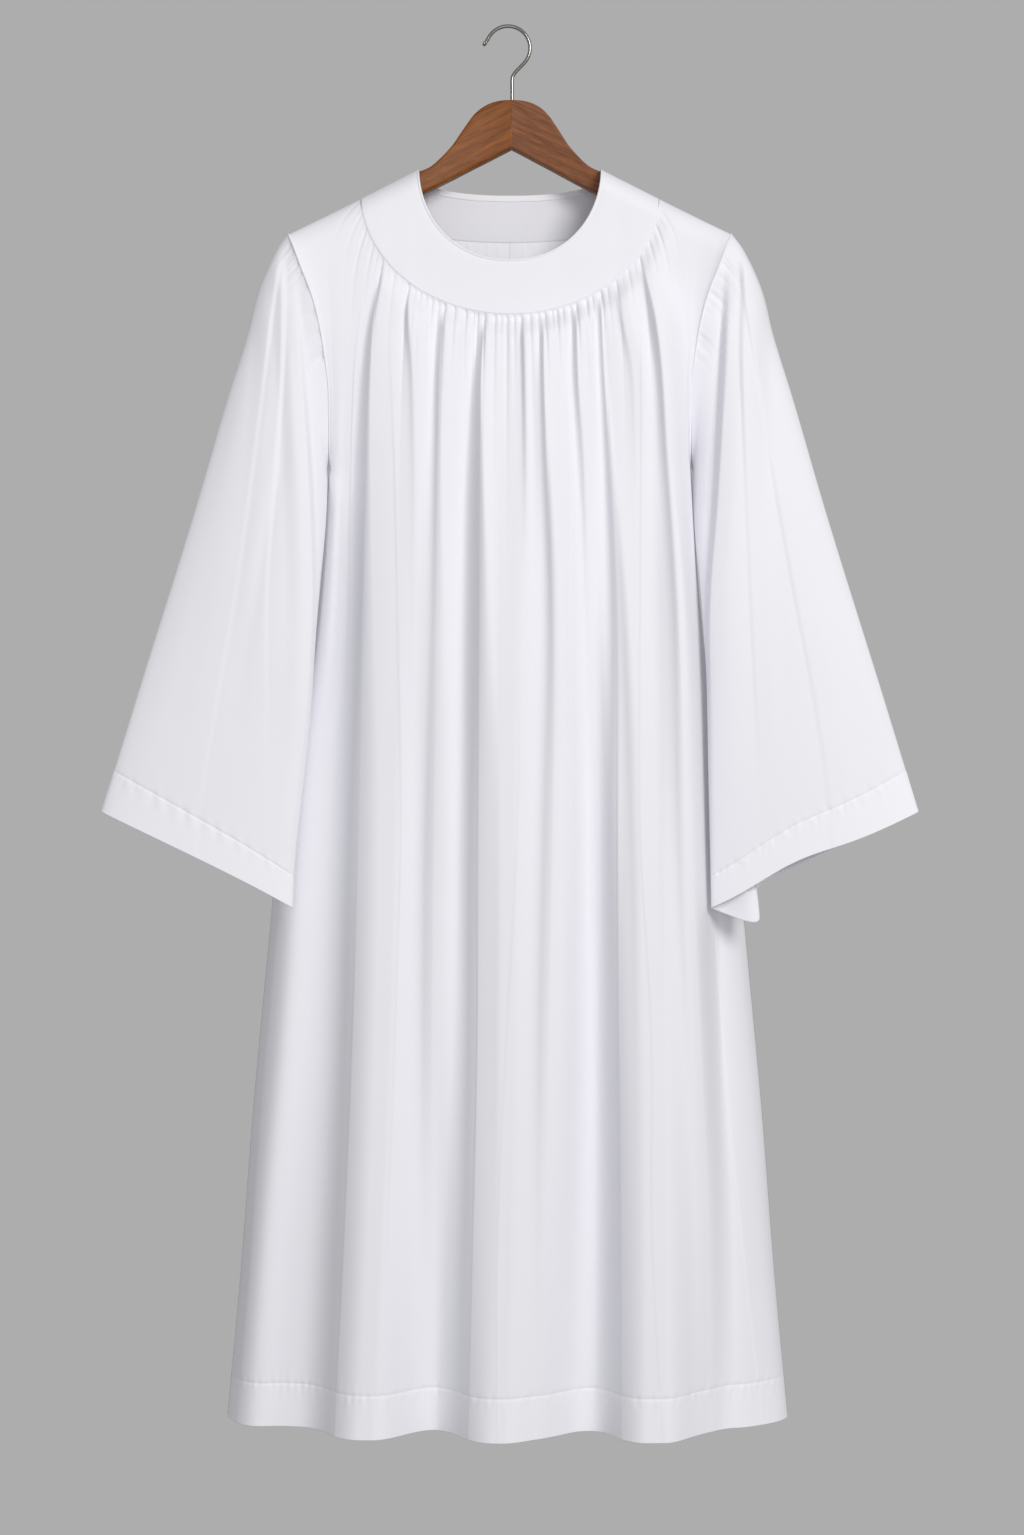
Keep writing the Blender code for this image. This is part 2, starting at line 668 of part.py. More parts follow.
def main():
    clear_scene()
    parts = bpy.data.collections.new("surplice_on_hanger")
    cutters = bpy.data.collections.new("cutters")
    for collection in (parts, cutters):
        bpy.context.scene.collection.children.link(collection)
    cloth = new_material("white polycotton", WHITE_CLOTH, 0.8)
    light = new_material("walnut, left arm", WALNUT_LIGHT, 0.4)
    dark = new_material("walnut, right arm", WALNUT_DARK, 0.4)
    steel = new_material("polished steel wire", STEEL, 0.25, 1.0)
    make_skirts(cloth, parts)
    make_yokes(cloth, parts)
    make_neck_facing(cloth, parts)
    make_sleeves(cloth, parts)
    make_hanger(light, dark, parts, cutters)
    make_hook(steel, parts)


main()
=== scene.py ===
"""Looks of a white surplice on a wooden hanger.

X runs to the right, Y away from the front, Z up, and the origin is inside the top of the
hook. Sizes are millimetres until a mesh is made. Each piece of cloth is a grid of points:
one parameter runs across the cloth, the other down it from its upper seam.
"""

from math import pi

import bmesh
import bpy
import mathutils
import numpy as np
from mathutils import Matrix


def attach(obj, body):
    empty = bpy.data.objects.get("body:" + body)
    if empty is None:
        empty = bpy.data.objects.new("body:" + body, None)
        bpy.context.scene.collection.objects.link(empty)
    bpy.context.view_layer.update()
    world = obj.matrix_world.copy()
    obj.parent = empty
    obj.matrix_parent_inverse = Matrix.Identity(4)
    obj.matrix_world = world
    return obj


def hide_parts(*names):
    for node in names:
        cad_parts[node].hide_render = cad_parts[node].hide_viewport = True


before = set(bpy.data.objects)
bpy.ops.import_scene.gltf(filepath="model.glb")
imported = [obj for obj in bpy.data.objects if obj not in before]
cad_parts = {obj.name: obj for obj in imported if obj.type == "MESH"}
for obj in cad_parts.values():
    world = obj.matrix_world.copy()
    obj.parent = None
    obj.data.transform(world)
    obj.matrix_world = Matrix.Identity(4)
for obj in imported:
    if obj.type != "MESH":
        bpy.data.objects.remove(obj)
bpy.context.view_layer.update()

MM = 0.001
SEED = 11
# Kept out of a division by a length that may be nothing.
TINY = 1e-9
# Points nearer than this, in metres, are one point.
POLE_DISTANCE = 1e-7

# Shoulders
NECK_HALF_WIDTH = 89.6
SHOULDER_TIP_X = 217.6
SHOULDER_TIP_HEIGHT = -214.8
SHOULDER_SLOPE = 0.545
ARM_SWEEP = 45.0
ARM_SWEEP_POWER = 1.5
SHOULDER_ROUND = 28.0

# Neck and yoke
FRONT_NECK_DEPTH = 96.0
BACK_NECK_DEPTH = 18.5
NECK_POWER = 2.15
YOKE_HALF_WIDTH = 146.7
FRONT_YOKE_DEPTH = 119.0
BACK_YOKE_DEPTH = 35.0
YOKE_SHARE = 0.95
YOKE_GAP = 0.04
CAP_EDGE = 0.03

# The tape inside the back neck. It is nicked where the two back yokes meet.
FACING_WIDTH = 6.0
FACING_CLEARANCE = 1.0
FACING_DROP = 0.2
TAPE_HALF_THICKNESS = 0.2
FACING_REACH = 52.0
FACING_COLUMNS = 160
FACING_SIDES = 24
FACING_SQUARENESS = 0.5
NICK_DEPTH = 0.3
NICK_WIDTH = 0.7

# Skirts
SEAM_GAP = 0.4
HEM_HEIGHT = -1396.0
HEM_WIDTH = 43.0
# How far the turned hem lies from the cloth, and its edge.
TURNED_GAP = 1.1
TURNED_EDGE_GAP = 0.3
SEAM_ALLOWANCE = 24.0
ALLOWANCE_FADE = 4.0
# How a skirt's upper edge tucks in: up, and in, under the yoke and on the shoulder.
TUCK_HEIGHT = 2.5
TUCK_FADE = 0.06
SHOULDER_INSET = 0.1
TUCK_INSET = 0.6
UNDERARM_HEIGHT = -445.0
BODY_SQUARENESS = 4.5
COLUMN_CROWDING = 0.38
COLUMN_BEND_POWER = 4
COLUMN_SETTLE = 60.0
FRONT_COLUMNS = 640
BACK_COLUMNS = 230
SKIRT_SWAY = 2.5
SWAY_LENGTH = 500.0
SIDE_FADE = 0.05
CENTRE_FADE = 0.04

# Where the columns of a skirt crowd together, at the foot of its long folds: shares across.
FRONT_CROWDED = (-0.61, -0.125, 0.38)
BACK_CROWDED = (0.08, 0.5)
CROWD_WEIGHT = 3.0
CROWD_WIDTH = 0.022
CROWD_STEPS = 4001

# The body, level by level. half_width is at the armhole or side seam; column_width is the
# smoother width that the cloth's columns spread over; front, edge and back are depths in Y:
# at the middle of the front, at the side (front and back edge), at the middle of the back.
# Between the underarm and the sleeves' hems the sides draw in, clear of the sleeves.
BODY_LEVELS = np.array([
    # height, half_width, column_width, front, front_edge, back_edge, back
    (-100, 217.6, 200, -52, -62, -8, 20),
    (-214.8, 217.6, 200, -55, -64, -8, 22),
    (-228, 212, 200, -56, -65, -5, 22),
    (-252, 203, 200, -57, -67, 0, 22),
    (-275, 194, 200, -58, -67, 3, 23),
    (-303, 186.5, 200, -59, -66, 5, 24),
    (-336, 181, 200, -60, -62, 5, 25),
    (-366, 177.5, 200, -60, -58, 2, 26),
    (-392, 177, 200.5, -60, -54, -5, 27),
    (-412, 177, 201, -60, -50, -13, 28),
    (-430, 177.5, 201.5, -60, -45, -25, 29),
    (-445, 178.5, 202, -60, -38, -38, 30),
    (-500, 182, 206, -59, -32, -32, 35),
    (-572, 188, 210, -57, -24, -24, 42),
    (-650, 199, 216, -55, -12, -12, 49),
    (-720, 221, 222, -52, 8, 8, 56),
    (-894, 238, 238, -46, 18, 18, 70),
    (-1090, 257, 257, -40, 28, 28, 84),
    (-1250, 270, 270, -35, 36, 36, 94),
    (-1396, 284, 284, -30, 43, 43, 102),
])

# Heights at which every line down the front is given.
FOLD_HEIGHTS = (-1396.0, -1200.0, -1000.0, -800.0, -580.0, -420.0, -350.0, -300.0, -250.0)

# How a fold climbs, at each of the heights above: how far before its line it starts, where
# before the line it is steepest, and how far past the line it reaches its crown.
SLOPE_BEFORE = (56.0, 53.0, 45.0, 41.0, 35.0, 20.0, 15.0, 10.0, 8.0)
STEEPEST = (10.0, 10.0, 10.0, 9.0, 4.0, 1.6, 1.0, 0.8, 0.8)
SLOPE_AFTER = (28.0, 28.0, 27.0, 25.0, 13.0, 4.5, 3.2, 2.6, 2.4)
# How steep a fold is at its line and just past it, against its steepest part.
STEEP_AT_LINE = 0.75
STEEP_PAST_LINE = 0.6
# How far the unfolded cloth draws back between the folds.
RETREAT_FADE = 0.3
RETREAT = (10.0, 9.0, 8.0, 7.0, 6.0, 3.0, 1.0, 0.0, 0.0)

# The long folds. Each is a line down the cloth; reach is how far it stands out, crown and fall
# are how wide its top and its far side are, and scale widens or narrows its slopes.
LONG_FOLDS = (
    # x at each height, reach at each height, crown, fall, scale
    ((-169.5, -160, -152, -147.5, -143, -140, -137.5, -133.5, -123),
     (52, 46, 38, 30, 24, 19, 15, 11, 3), 36, 66, 0.86),
    ((-38, -33, -29, -28.5, -29, -29.5, -28.5, -24, -18),
     (64, 61, 58, 56, 49, 31, 20, 12, 2), 34, 76, 0.9),
    ((111.5, 111, 108.7, 106.5, 104, 95.5, 91, 89, 88),
     (64, 63, 62, 60, 47, 26, 19, 14, 3), 42, 62, 0.86),
)

# Smaller folds: sharp below the gathers, soft swells further down.
SMALL_FOLDS = (
    # x at each height, reach at each height, crown, fall, scale
    ((-76, -75, -74, -72.5, -71, -70, -68.5, -65.5, -60.5),
     (4, 18, 30, 29, 23, 17, 16, 12.5, 2.5), 10, 52, 0.78),
    ((-96, -96, -96, -96, -93, -94, -96, -100, -98),
     (0, 0, 0, 0, 3, 4, 5, 7, 2), 8, 16, 0.62),
    ((18, 18, 18, 18, 16, 15, 13.5, 12, 11),
     (0, 0, 0, 0, 2, 6.5, 8, 7, 1.5), 10, 14, 0.62),
    ((38, 38, 40, 43, 42.5, 34.5, 32.5, 32.5, 33),
     (18, 29, 36, 38, 33, 23, 19, 13, 2.5), 10, 60, 0.84),
    ((96, 95, 92, 87, 77.5, 69.5, 65, 64.5, 64),
     (0, 2, 6, 12, 15, 16, 16, 12, 2), 10, 22, 0.72),
    ((124, 124, 124, 124, 124, 121, 118, 108, 103),
     (0, 0, 0, 0, 0, 1.5, 2.6, 4, 1.5), 8, 16, 0.62),
    ((195, 192, 182, 172, 162, 150.5, 146, 139.5, 129.5),
     (13, 25, 34, 36, 29, 16, 14, 12, 3), 5, 27, 0.8),
)
FOLD_START = 26.0

# Soft ridges where the side folds begin, as troughs of a depth below nothing.
TROUGHS = (
    # x at each height, depth at each height, width
    ((228, 222, 214, 204, 190, 180, 176, 170, 160),
     (-9, -8, -6, -5, -3, 0, 0, 0, 0), 24),
    ((-258, -243, -222, -208, -192, -185, -180, -170, -160),
     (-9, -11, -12, -9, -4, 0, 0, 0, 0), 20),
)

# Fine creases: a hair of cloth that stands up along a line and catches the light.
FINE_CREASES = (
    # x at each height, reach at each height
    ((-170, -160, -151.5, -146, -142.5, -141.5, -139, -135, -124),
     (0.5, 0.9, 0.9, 0.3, 0, 0, 0, 0, 0)),
    ((-38.5, -33.5, -29, -29, -29.5, -30.5, -29.5, -25, -19),
     (0.5, 0.7, 0.7, 0.5, 0.5, 0, 0, 0, 0)),
    ((111.5, 111, 108.2, 106.5, 104.5, 97, 92, 90, 89),
     (0.4, 0.8, 1, 0.9, 0.3, 0, 0, 0, 0)),
    ((-120, -116, -109, -104, -109, -113, -116, -118, -120),
     (0.5, 0.6, 0.6, 0.6, 0.5, 0.6, 0.3, 0, 0)),
    ((-10, -9, 0, 10, 11, 11, 11, 11, 11),
     (0.4, 0.4, 0.4, 0.5, 0.2, 0, 0, 0, 0)),
    ((66, 66, 66, 62.5, 60, 60, 58, 56, 54),
     (0, 0, 0, 0.5, 0.7, 0.3, 0, 0, 0)),
    ((152, 141, 140, 128.5, 127, 128, 128, 128, 128),
     (0.3, 0.4, 0.5, 0.5, 0.5, 0.6, 0.5, 0.3, 0)),
    ((256, 233, 214, 200, 190, 185, 180, 180, 180),
     (0.5, 0.8, 0.8, 0.6, 0, 0, 0, 0, 0)),
    ((-160, -160, -160, -160, -158, -155, -152, -147, -140),
     (0, 0, 0, 0, 0.3, 0.7, 0.6, 0.3, 0)),
)
CREASE_CLIMB = 1.6
CREASE_FALL = 7.0

# Broad swells at the back. start and end run across the panel, from 0 at the middle to 1 at
# the side seam; rise and fall are the widths of the flanks; the rest is in mm.
BACK_SWELLS = (
    # start, end, rise, fall, hem, middle, top
    (0.08, 0.26, 0.04, 0.1, 46, 32, 12),
    (0.5, 0.66, 0.04, 0.09, 50, 34, 12),
    (0.8, 0.88, 0.06, 0.08, 16, 12, 6),
)
SWELL_HEIGHTS = (-1396.0, -760.0, -400.0, -290.0)

# Gathers at the front yoke seam, in order from the left. Each is a pinched groove that starts
# at the seam and dies away below, soft on its left and sharp on its right.
FRONT_GATHERS = (
    # x at the seam, depth, length
    (-147, 1.6, 17), (-146.2, 1.1, 10), (-144.9, 1.8, 20), (-143, 1.2, 12), (-140.6, 2.4, 36),
    (-137.6, 1, 10), (-133.6, 2, 25), (-129, 1.4, 16), (-124.3, 3.1, 58), (-118.5, 1, 9),
    (-112.5, 2.3, 28), (-105.7, 1.1, 9), (-98.8, 4.9, 72), (-92.5, 2.8, 24), (-87.1, 3.7, 41),
    (-81.7, 3.4, 27), (-75.8, 4.1, 43), (-69.5, 4, 34), (-63.6, 6.5, 105), (-53.8, 5.5, 45),
    (-43, 6.5, 69), (-35.2, 4, 34), (-31.3, 4.9, 46), (-24.4, 6.5, 90), (-14.6, 5.9, 71),
    (-8.5, 3.7, 25), (-2.9, 5.5, 92), (4, 4.6, 42), (10.8, 6.5, 75), (19.6, 4.9, 55),
    (27.5, 4.6, 42), (33.8, 6.5, 90), (41.2, 4, 34), (45.6, 5.9, 71), (51.4, 4, 29),
    (58.8, 4.6, 42), (64.7, 6.5, 90), (74.4, 5.5, 55), (80.3, 3, 27), (89.1, 5.6, 108),
    (95, 3, 22), (103.8, 3.1, 60), (109.5, 1, 9), (115.5, 2.1, 30), (121, 1.3, 12),
    (126.5, 3, 55), (131.5, 1.1, 10), (135.8, 2, 23), (139.4, 1.3, 14), (142.3, 2.4, 34),
    (144.5, 1, 10), (146.1, 1.8, 20), (147, 1.1, 9),
)
# The back's gathers are drawn at random within these ranges.
BACK_SPACING = (6.0, 12.0)
BACK_DEPTH = (0.2, 0.9)
BACK_LENGTH = (14.0, 60.0)
GATHER_PINCH = 1.9
SOFT_SIDE = 1.25
SHARP_SIDE = 0.7
GATHER_SPREAD = 60.0
GATHER_START = 3.0

# Soft hanging streaks below the gathers: shallow troughs and ridges.
STREAKS = 18
STREAK_WIDTH = (7.0, 20.0)
STREAK_DEPTH = (-0.9, 0.6)
STREAK_TOP = (10.0, 220.0)
STREAK_LENGTH = (90.0, 330.0)
STREAK_LEAN = (-0.00005, 0.00005)
STREAK_START = 90.0
STREAK_END = 200.0

# Rows down a skirt: distances below the seam, then heights above the hem.
ROWS_BELOW = (0.0, 0.6, 1.3, 2.2, 3.2, 4.4, 5.8, 7.4, 9.2, 11.4, 14.0, 17.0, 20.5, 24.5, 29.0,
              34.0, 40.0, 46.5, 54.0, 62.0, 71.0, 80.0, 90.0, 100.0, 111.0, 122.0, 134.0,
              146.0, 158.0, 170.0, 182.0, 195.0, 208.0, 222.0, 236.0, 251.0, 266.0, 282.0)
MIDDLE_ROWS = 52
ROWS_ABOVE_HEM = (128.0, 116.0, 104.0, 93.0, 83.0, 74.0, 66.0, 59.0, 54.0, 50.0, 47.0, 45.0,
                  44.0, 43.2, 42.5, 41.7, 40.7, 39.0, 36.0, 32.0, 27.0, 22.0, 17.0, 12.0, 8.0,
                  5.0, 3.0, 1.5, 0.6, 0.0)

# The stitched groove at the top of a hem, and the puckers beside it: waves of drawn lengths
# and slants, added up and scaled down.
STITCH_GROOVE = 0.55
STITCH_GROOVE_WIDTH = 1.3
PUCKERS = 9
PUCKER_LENGTH = (6.0, 26.0)
PUCKER_SLANT = (-0.5, 0.5)
PUCKER_SCALE = 4
PUCKER_DEPTH = 0.45
PUCKER_REACH = 8.0
PUCKER_DROP = 2

# Sleeve edges from the armhole to the hem; share is how far along the sleeve.
SLEEVE_OUTER = np.array([
    # share, x, y, height
    (0, 217.6, -45, -214.6),
    (0.02, 226.5, -45, -226),
    (0.045, 234.5, -44.5, -240),
    (0.09, 246, -44, -265.7),
    (0.175, 258.5, -45, -314),
    (0.28, 276.5, -48, -373.6),
    (0.46, 305.5, -54, -476),
    (0.806, 365.5, -61, -672.6),
    (1, 398.8, -64, -782.5),
])
SLEEVE_INNER = np.array([
    # share, x, y, height
    (0, 178.5, -38, -445),
    (0.015, 179, -39, -448.5),
    (0.04, 178.5, -43, -459),
    (0.08, 178.5, -49, -478),
    (0.13, 179.3, -54.5, -501),
    (0.27, 184.4, -64, -562),
    (0.45, 190, -67, -640),
    (0.7, 192.5, -64, -748),
    (1, 195, -62, -877),
])
SLEEVE_LENGTH = 610.0
SLEEVE_SETTLE = 0.055
SLEEVE_BULGE_TOP = 24.0
SLEEVE_BULGE_HEM = 17.0
SLEEVE_BACK_BULGE = 42.0
SLEEVE_OUTSET = 0.3
UNDERARM_OUTSET = 0.6
SLEEVE_TURNS = 360
SLEEVE_ROWS = 120
SLEEVE_ROW_POWER = 1.25
SLEEVE_ROW_GAP = 0.006
# The sleeve's last rows are those of ROWS_ABOVE_HEM that are less than this above its edge.
SLEEVE_HEM_ROWS = 60.0
# A sleeve's folds fade where its two layers meet, below this sine of the turn, and over this
# share of its length at its head. Its streaks are this much of a skirt's.
LAYER_FADE = 0.35
SLEEVE_FOLD_START = 0.05
SLEEVE_STREAKS = 0.8

# The sleeve head is gathered between these turns, in radians from the shoulder tip: how many
# gathers, their depths and lengths, and how each pinches, spreads and starts, in mm.
HEAD_GATHERS = (0.2, 1.7)
HEAD_GATHER_COUNT = 34
HEAD_GATHER_DEPTH = (0.8, 2.6)
HEAD_GATHER_LENGTH = (3, 13)
HEAD_GATHER_PINCH = 1.6
HEAD_GATHER_SPREAD = 25
HEAD_GATHER_START = 2
HEAD_SHARE = 0.16

# What each sleeve's hem does by itself. turn is where round the sleeve, in half turns from the
# outer edge by the front; spread is how wide; start is the share of the sleeve where it begins.
HEM_MOVES = np.array([
    # side, turn, spread, start, x, y, height
    (-1, 1, 0.35, 0.45, 16, 0, 0),
    (1, 1.17, 0.09, 0.55, 31, -8, -20),
    (1, 1.07, 0.06, 0.6, 0, 8, 0),
    (1, 0.56, 0.15, 0.72, 0, 0, 8),
])

# Creases on the front of each sleeve, as lines: x at each height, reach at each height. The
# x of the left sleeve is given as if it were on the right.
SLEEVE_HEIGHTS = (-880.0, -760.0, -670.0, -575.0, -480.0, -400.0, -340.0, -290.0, -245.0, -225.0)
LEFT_SLEEVE_FOLDS = (
    # x at each height, reach at each height, crown, fall
    ((236, 236, 238, 239, 233, 227, 224, 223, 223, 221),
     (0, 0, 0.4, 0.8, 1.2, 1.8, 2.4, 2.6, 1.8, 0), 10, 20),
    ((205, 200, 196, 193, 195.5, 200.5, 205, 209, 213, 215),
     (0, 0.6, 1.2, 2.4, 4, 5, 4.6, 3.4, 2, 0), 8, 18),
    ((310, 300, 286, 270, 257, 247, 240, 234, 227, 224),
     (0, 0.3, 0.5, 0.5, 0.6, 0.8, 1.2, 1.6, 1.4, 0), 14, 24),
)
RIGHT_SLEEVE_FOLDS = (
    # x at each height, reach at each height, crown, fall
    ((196, 195, 195, 195, 202, 207, 210.5, 212.5, 214, 215.5),
     (0, 2, 4, 7.5, 9.5, 10.5, 10, 8, 4.5, 0), 12, 40),
    ((320, 311, 298, 280, 263, 250, 240, 232, 226, 222),
     (0, 0.5, 0.8, 1, 1.2, 1.5, 1.8, 1.8, 1.2, 0), 14, 24),
    ((250, 246, 241, 236, 232, 229, 227.5, 228.5, 229, 226),
     (0, 0, 0.8, 1.2, 1.4, 2, 2.4, 2.4, 1.6, 0), 10, 18),
)
SLEEVE_FLANK = 5.0
SLEEVE_GROOVE = 12.0
SLEEVE_DIP = 0.35

# The raised seam line round an armhole, thinner at the underarm
WELT_RADIUS = 0.75
WELT_ROWS = 340
WELT_SIDES = 10
WELT_END = 0.02
WELT_OUTSET = 0.5
WELT_OUTSET_POWER = 0.3
WELT_THINNING = 0.75
WELT_THINNING_TURN = 0.5

# Hanger: half of its outline, from the mitre outwards
HANGER_CENTRE_X = 1.6
HANGER_SECTIONS = np.array([
    # distance, top, bottom, half_thickness, squareness
    (0, -73, -121.7, 8, 9),
    (12.3, -74.2, -128.2, 8, 9),
    (22.5, -77.6, -133.8, 8, 9),
    (31.4, -83.5, -138.6, 8, 9),
    (37.7, -90, -142, 8, 9),
    (44, -99.1, -145.5, 8, 9),
    (50.4, -108.9, -149.1, 8, 9),
    (56.7, -118.7, -152.6, 8, 9),
    (63, -126.4, -156.1, 8, 9),
    (69.3, -133.2, -159.6, 8, 8),
    (77.5, -140.8, -164.1, 8.2, 7),
    (89.6, -147, -170.5, 8.4, 5),
    (130, -168.9, -188.5, 9, 3.5),
    (170, -190.9, -207.5, 10, 2.7),
    (198, -207.2, -221.5, 10.5, 2.3),
    (208, -214, -224.5, 9, 2.1),
    (212, -217, -222.5, 5, 2),
])
SECTION_POINTS = 96
ARM_ROWS = 180
ARM_ROW_POWER = 1.3
ARM_START = 0.4
MITRE_GAP = 0.06
# The slices that close an arm: their distances and sizes at the mitre, and past the last
# section at the tip.
MITRE_PLACES = (0.0, 0.0, 0.15)
MITRE_SIZES = (0.0, 0.985, 0.997)
TIP_PLACES = (0.9, 1.2, 1.3)
TIP_SIZES = (0.8, 0.5, 0.0)

# Hook
WIRE_RADIUS = 1.85
WIRE_SIDES = 32
HOOK_RADIUS = 22.0
HOOK_CENTRE_X = -2.0
HOOK_START_ANGLE = 154.0
HOOK_END_ANGLE = -38.0
BOW_POINTS = 40
STEM_X = 2.1
STEM_DEPTH = 24.0
# The first stretch of wire, which has closer rings, and how much of it rounds the tip.
TIP_LENGTH = 8
TIP_ROUND = 2.2
TIP_ROWS = 60
WIRE_ROWS = 420
HOOK_TIP = (
    # x, height, share of the wire's radius: a small ball, then the flick up to the bow
    (-27.4, -15.4, 1.2),
    (-26.4, -15.7, 1.57),
    (-25.4, -15.4, 1.4),
    (-24.4, -14.6, 1.0),
    (-23.0, -12.6, 1.0),
)
HOOK_NECK = (
    # x, height: the slanting neck and the bend into the stem
    (11.2, -38.2),
    (6.4, -43.2),
    (3.6, -46.8),
    (2.4, -49.4),
    (STEM_X, -52.5),
    (STEM_X, -60.0),
)

# Painted light and shade: how much whiter than single cloth each piece is painted, from a single
# one (0) to a gathered seam allowance (1), in place of light shining through thin cloth; and over
# how many mm that changes at the top of a hem.
YOKE_PAINTED_LIGHT = 0.1
HEM_PAINTED_LIGHT = 0.3
CUFF_PAINTED_LIGHT = 0.4
WELT_PAINTED_LIGHT = 0.3
SEAM_PAINTED_LIGHT = 1.0
HEM_PAINTED_LIGHT_FADE = 0.8

# Colours, sRGB
WALL_GREY = "#ADADAD"
FLOOR_GREY = "#B4B4B4"
FLOOR_SHADE = "#B0B0B0"
# The cloth's white where single, and a whiter white laid on as painted light where cloth is
# doubled.
SINGLE_CLOTH = "#EFEFF5"
LAYERED_CLOTH_PAINTED_LIGHT = "#FAFAFF"
STEEL = "#8F8C88"
# Walnut as lit and shaded copies of one wood: the left arm's set is painted light, the right arm's
# painted shade; each has pale, middle and dark bands
WALNUT_PAINTED_LIT = ("#98581F", "#824815", "#673710")
WALNUT_PAINTED_SHADE = ("#97633F", "#855438", "#6C422D")
# The slope of the arms' grain, in radians
GRAIN_SLOPE = 0.46
# From thread to thread in metres, as drawn. The real threads lie 0.3 mm apart.
THREAD_SPACING = 0.0016
# A wave texture of scale 1 has this many bands in 2 pi metres.
WAVE_BANDS = 20


# Shared shapes


def smooth_curve(at, places, values):
    """A smooth curve through a table: a cubic between two rows, its slope at each row the mean
    of the slopes either side."""
    places = np.asarray(places, float)
    values = np.asarray(values, float)
    slope = np.gradient(values, places)
    at = np.clip(at, places[0], places[-1])
    row = np.clip(np.searchsorted(places, at, side="right") - 1, 0, len(places) - 2)
    gap = places[row + 1] - places[row]
    t = (at - places[row]) / gap
    start, end = values[row], values[row + 1]
    rise_start, rise_end = slope[row] * gap, slope[row + 1] * gap
    return (
        (2 * t**3 - 3 * t**2 + 1) * start
        + (t**3 - 2 * t**2 + t) * rise_start
        + (3 * t**2 - 2 * t**3) * end
        + (t**3 - t**2) * rise_end
    )


def body_level(column, height):
    """One column of BODY_LEVELS at any height."""
    table = BODY_LEVELS[::-1]
    return smooth_curve(height, table[:, 0], table[:, column])


def step(t):
    """Smooth step from 0 to 1 while t goes from 0 to 1."""
    t = np.clip(t, 0.0, 1.0)
    return t * t * (3 - 2 * t)


def bell(t):
    """A bump of height 1 at 0 that dies away by about 2 either side."""
    return np.exp(-(t**2))


def squared(wave, power):
    """A sine or cosine raised to a power with its sign kept, which makes its oval squarer."""
    return np.sign(wave) * np.abs(wave) ** power


def ridge_height(x):
    """The top of the shoulder, which slopes down from the neck."""
    return SHOULDER_TIP_HEIGHT + SHOULDER_SLOPE * (SHOULDER_TIP_X - np.abs(x))


def ridge_depth(x):
    """The shoulder line sweeps forward with the hanger's arms."""
    return -ARM_SWEEP * (np.abs(x) / SHOULDER_TIP_X) ** ARM_SWEEP_POWER


def cloth_depth(x, height, back):
    """Depth of the unfolded cloth: a flat oval at each level, rounded over to the shoulder line."""
    half_width = body_level(1, height)
    middle = body_level(6 if back else 3, height)
    edge = body_level(5 if back else 4, height)
    seam = (body_level(4, height) + body_level(5, height)) / 2
    edge = np.where(height < UNDERARM_HEIGHT, seam, edge)
    across = np.clip(np.abs(x) / half_width, 0.0, 1.0)
    flat = edge + (middle - edge) * np.sqrt(1 - across**BODY_SQUARENESS)
    below = np.clip((ridge_height(x) - height) / SHOULDER_ROUND, 0.0, 1.0)
    rounding = np.sqrt(1 - (1 - below) ** 2)
    ridge = ridge_depth(x)
    side = SEAM_GAP / 2 if back else -SEAM_GAP / 2
    return ridge + (flat - ridge) * rounding + side


def neck_curve(angle, back):
    """x and height of the neck edge, a squared oval; the angle is 0 at the middle and pi/2 at
    the shoulder."""
    depth = BACK_NECK_DEPTH if back else FRONT_NECK_DEPTH
    power = 2 / NECK_POWER
    x = NECK_HALF_WIDTH * squared(np.sin(angle), power)
    corner = ridge_height(NECK_HALF_WIDTH)
    return x, corner - depth * squared(np.cos(angle), power)


def yoke_curve(angle, back, outset=0.0):
    """x and height of the yoke's outer seam, or of a line set out from it."""
    depth = BACK_YOKE_DEPTH if back else FRONT_YOKE_DEPTH
    x = (YOKE_HALF_WIDTH + outset) * np.sin(angle)
    return x, ridge_height(YOKE_HALF_WIDTH) - (depth + outset) * np.cos(angle)


def panel_top(across, back):
    """Top edge of a skirt: the yoke seam, then the shoulder seam out to its tip."""
    share = np.abs(across)
    angle = np.minimum(share / YOKE_SHARE, 1.0) * pi / 2
    x, height = yoke_curve(angle, back, SEAM_GAP)
    beyond = np.clip((share - YOKE_SHARE) / (1 - YOKE_SHARE), 0.0, 1.0)
    x = x + (SHOULDER_TIP_X - YOKE_HALF_WIDTH - SEAM_GAP) * beyond
    on_shoulder = share > YOKE_SHARE
    return x * np.sign(across), np.where(on_shoulder, ridge_height(x), height)


def column_place(share, height):
    """How far out a column hangs: crowded to the side above, even at the hem."""
    crowding = COLUMN_CROWDING * np.clip(
        (height - HEM_HEIGHT) / (UNDERARM_HEIGHT - HEM_HEIGHT), 0.0, 1.0
    )
    width = body_level(2, height)
    bend = (body_level(1, height) - width) * share**COLUMN_BEND_POWER
    return width * (share + crowding * share * (1 - share)) + bend


def linear(code):
    """An sRGB hex colour as linear red, green, blue, alpha."""
    share = np.array([int(code[k : k + 2], 16) / 255 for k in (1, 3, 5)])
    light = np.where(share <= 0.04045, share / 12.92, ((share + 0.055) / 1.055) ** 2.4)
    return (*light.tolist(), 1.0)


def unit(vectors):
    """Vectors brought to a length of 1."""
    return vectors / (np.linalg.norm(vectors, axis=-1, keepdims=True) + TINY)


def grid_faces(rows, columns, around, flip):
    """Corners of the four-sided faces between neighbours of a grid, row by row."""
    spans = columns if around else columns - 1
    row = np.arange(rows - 1)[:, None] * columns
    left = np.arange(spans)[None, :]
    right = (left + 1) % columns
    corners = [row + left, row + columns + left, row + columns + right, row + right]
    faces = np.stack(corners, axis=2).reshape(-1, 4)
    return faces[:, ::-1] if flip else faces


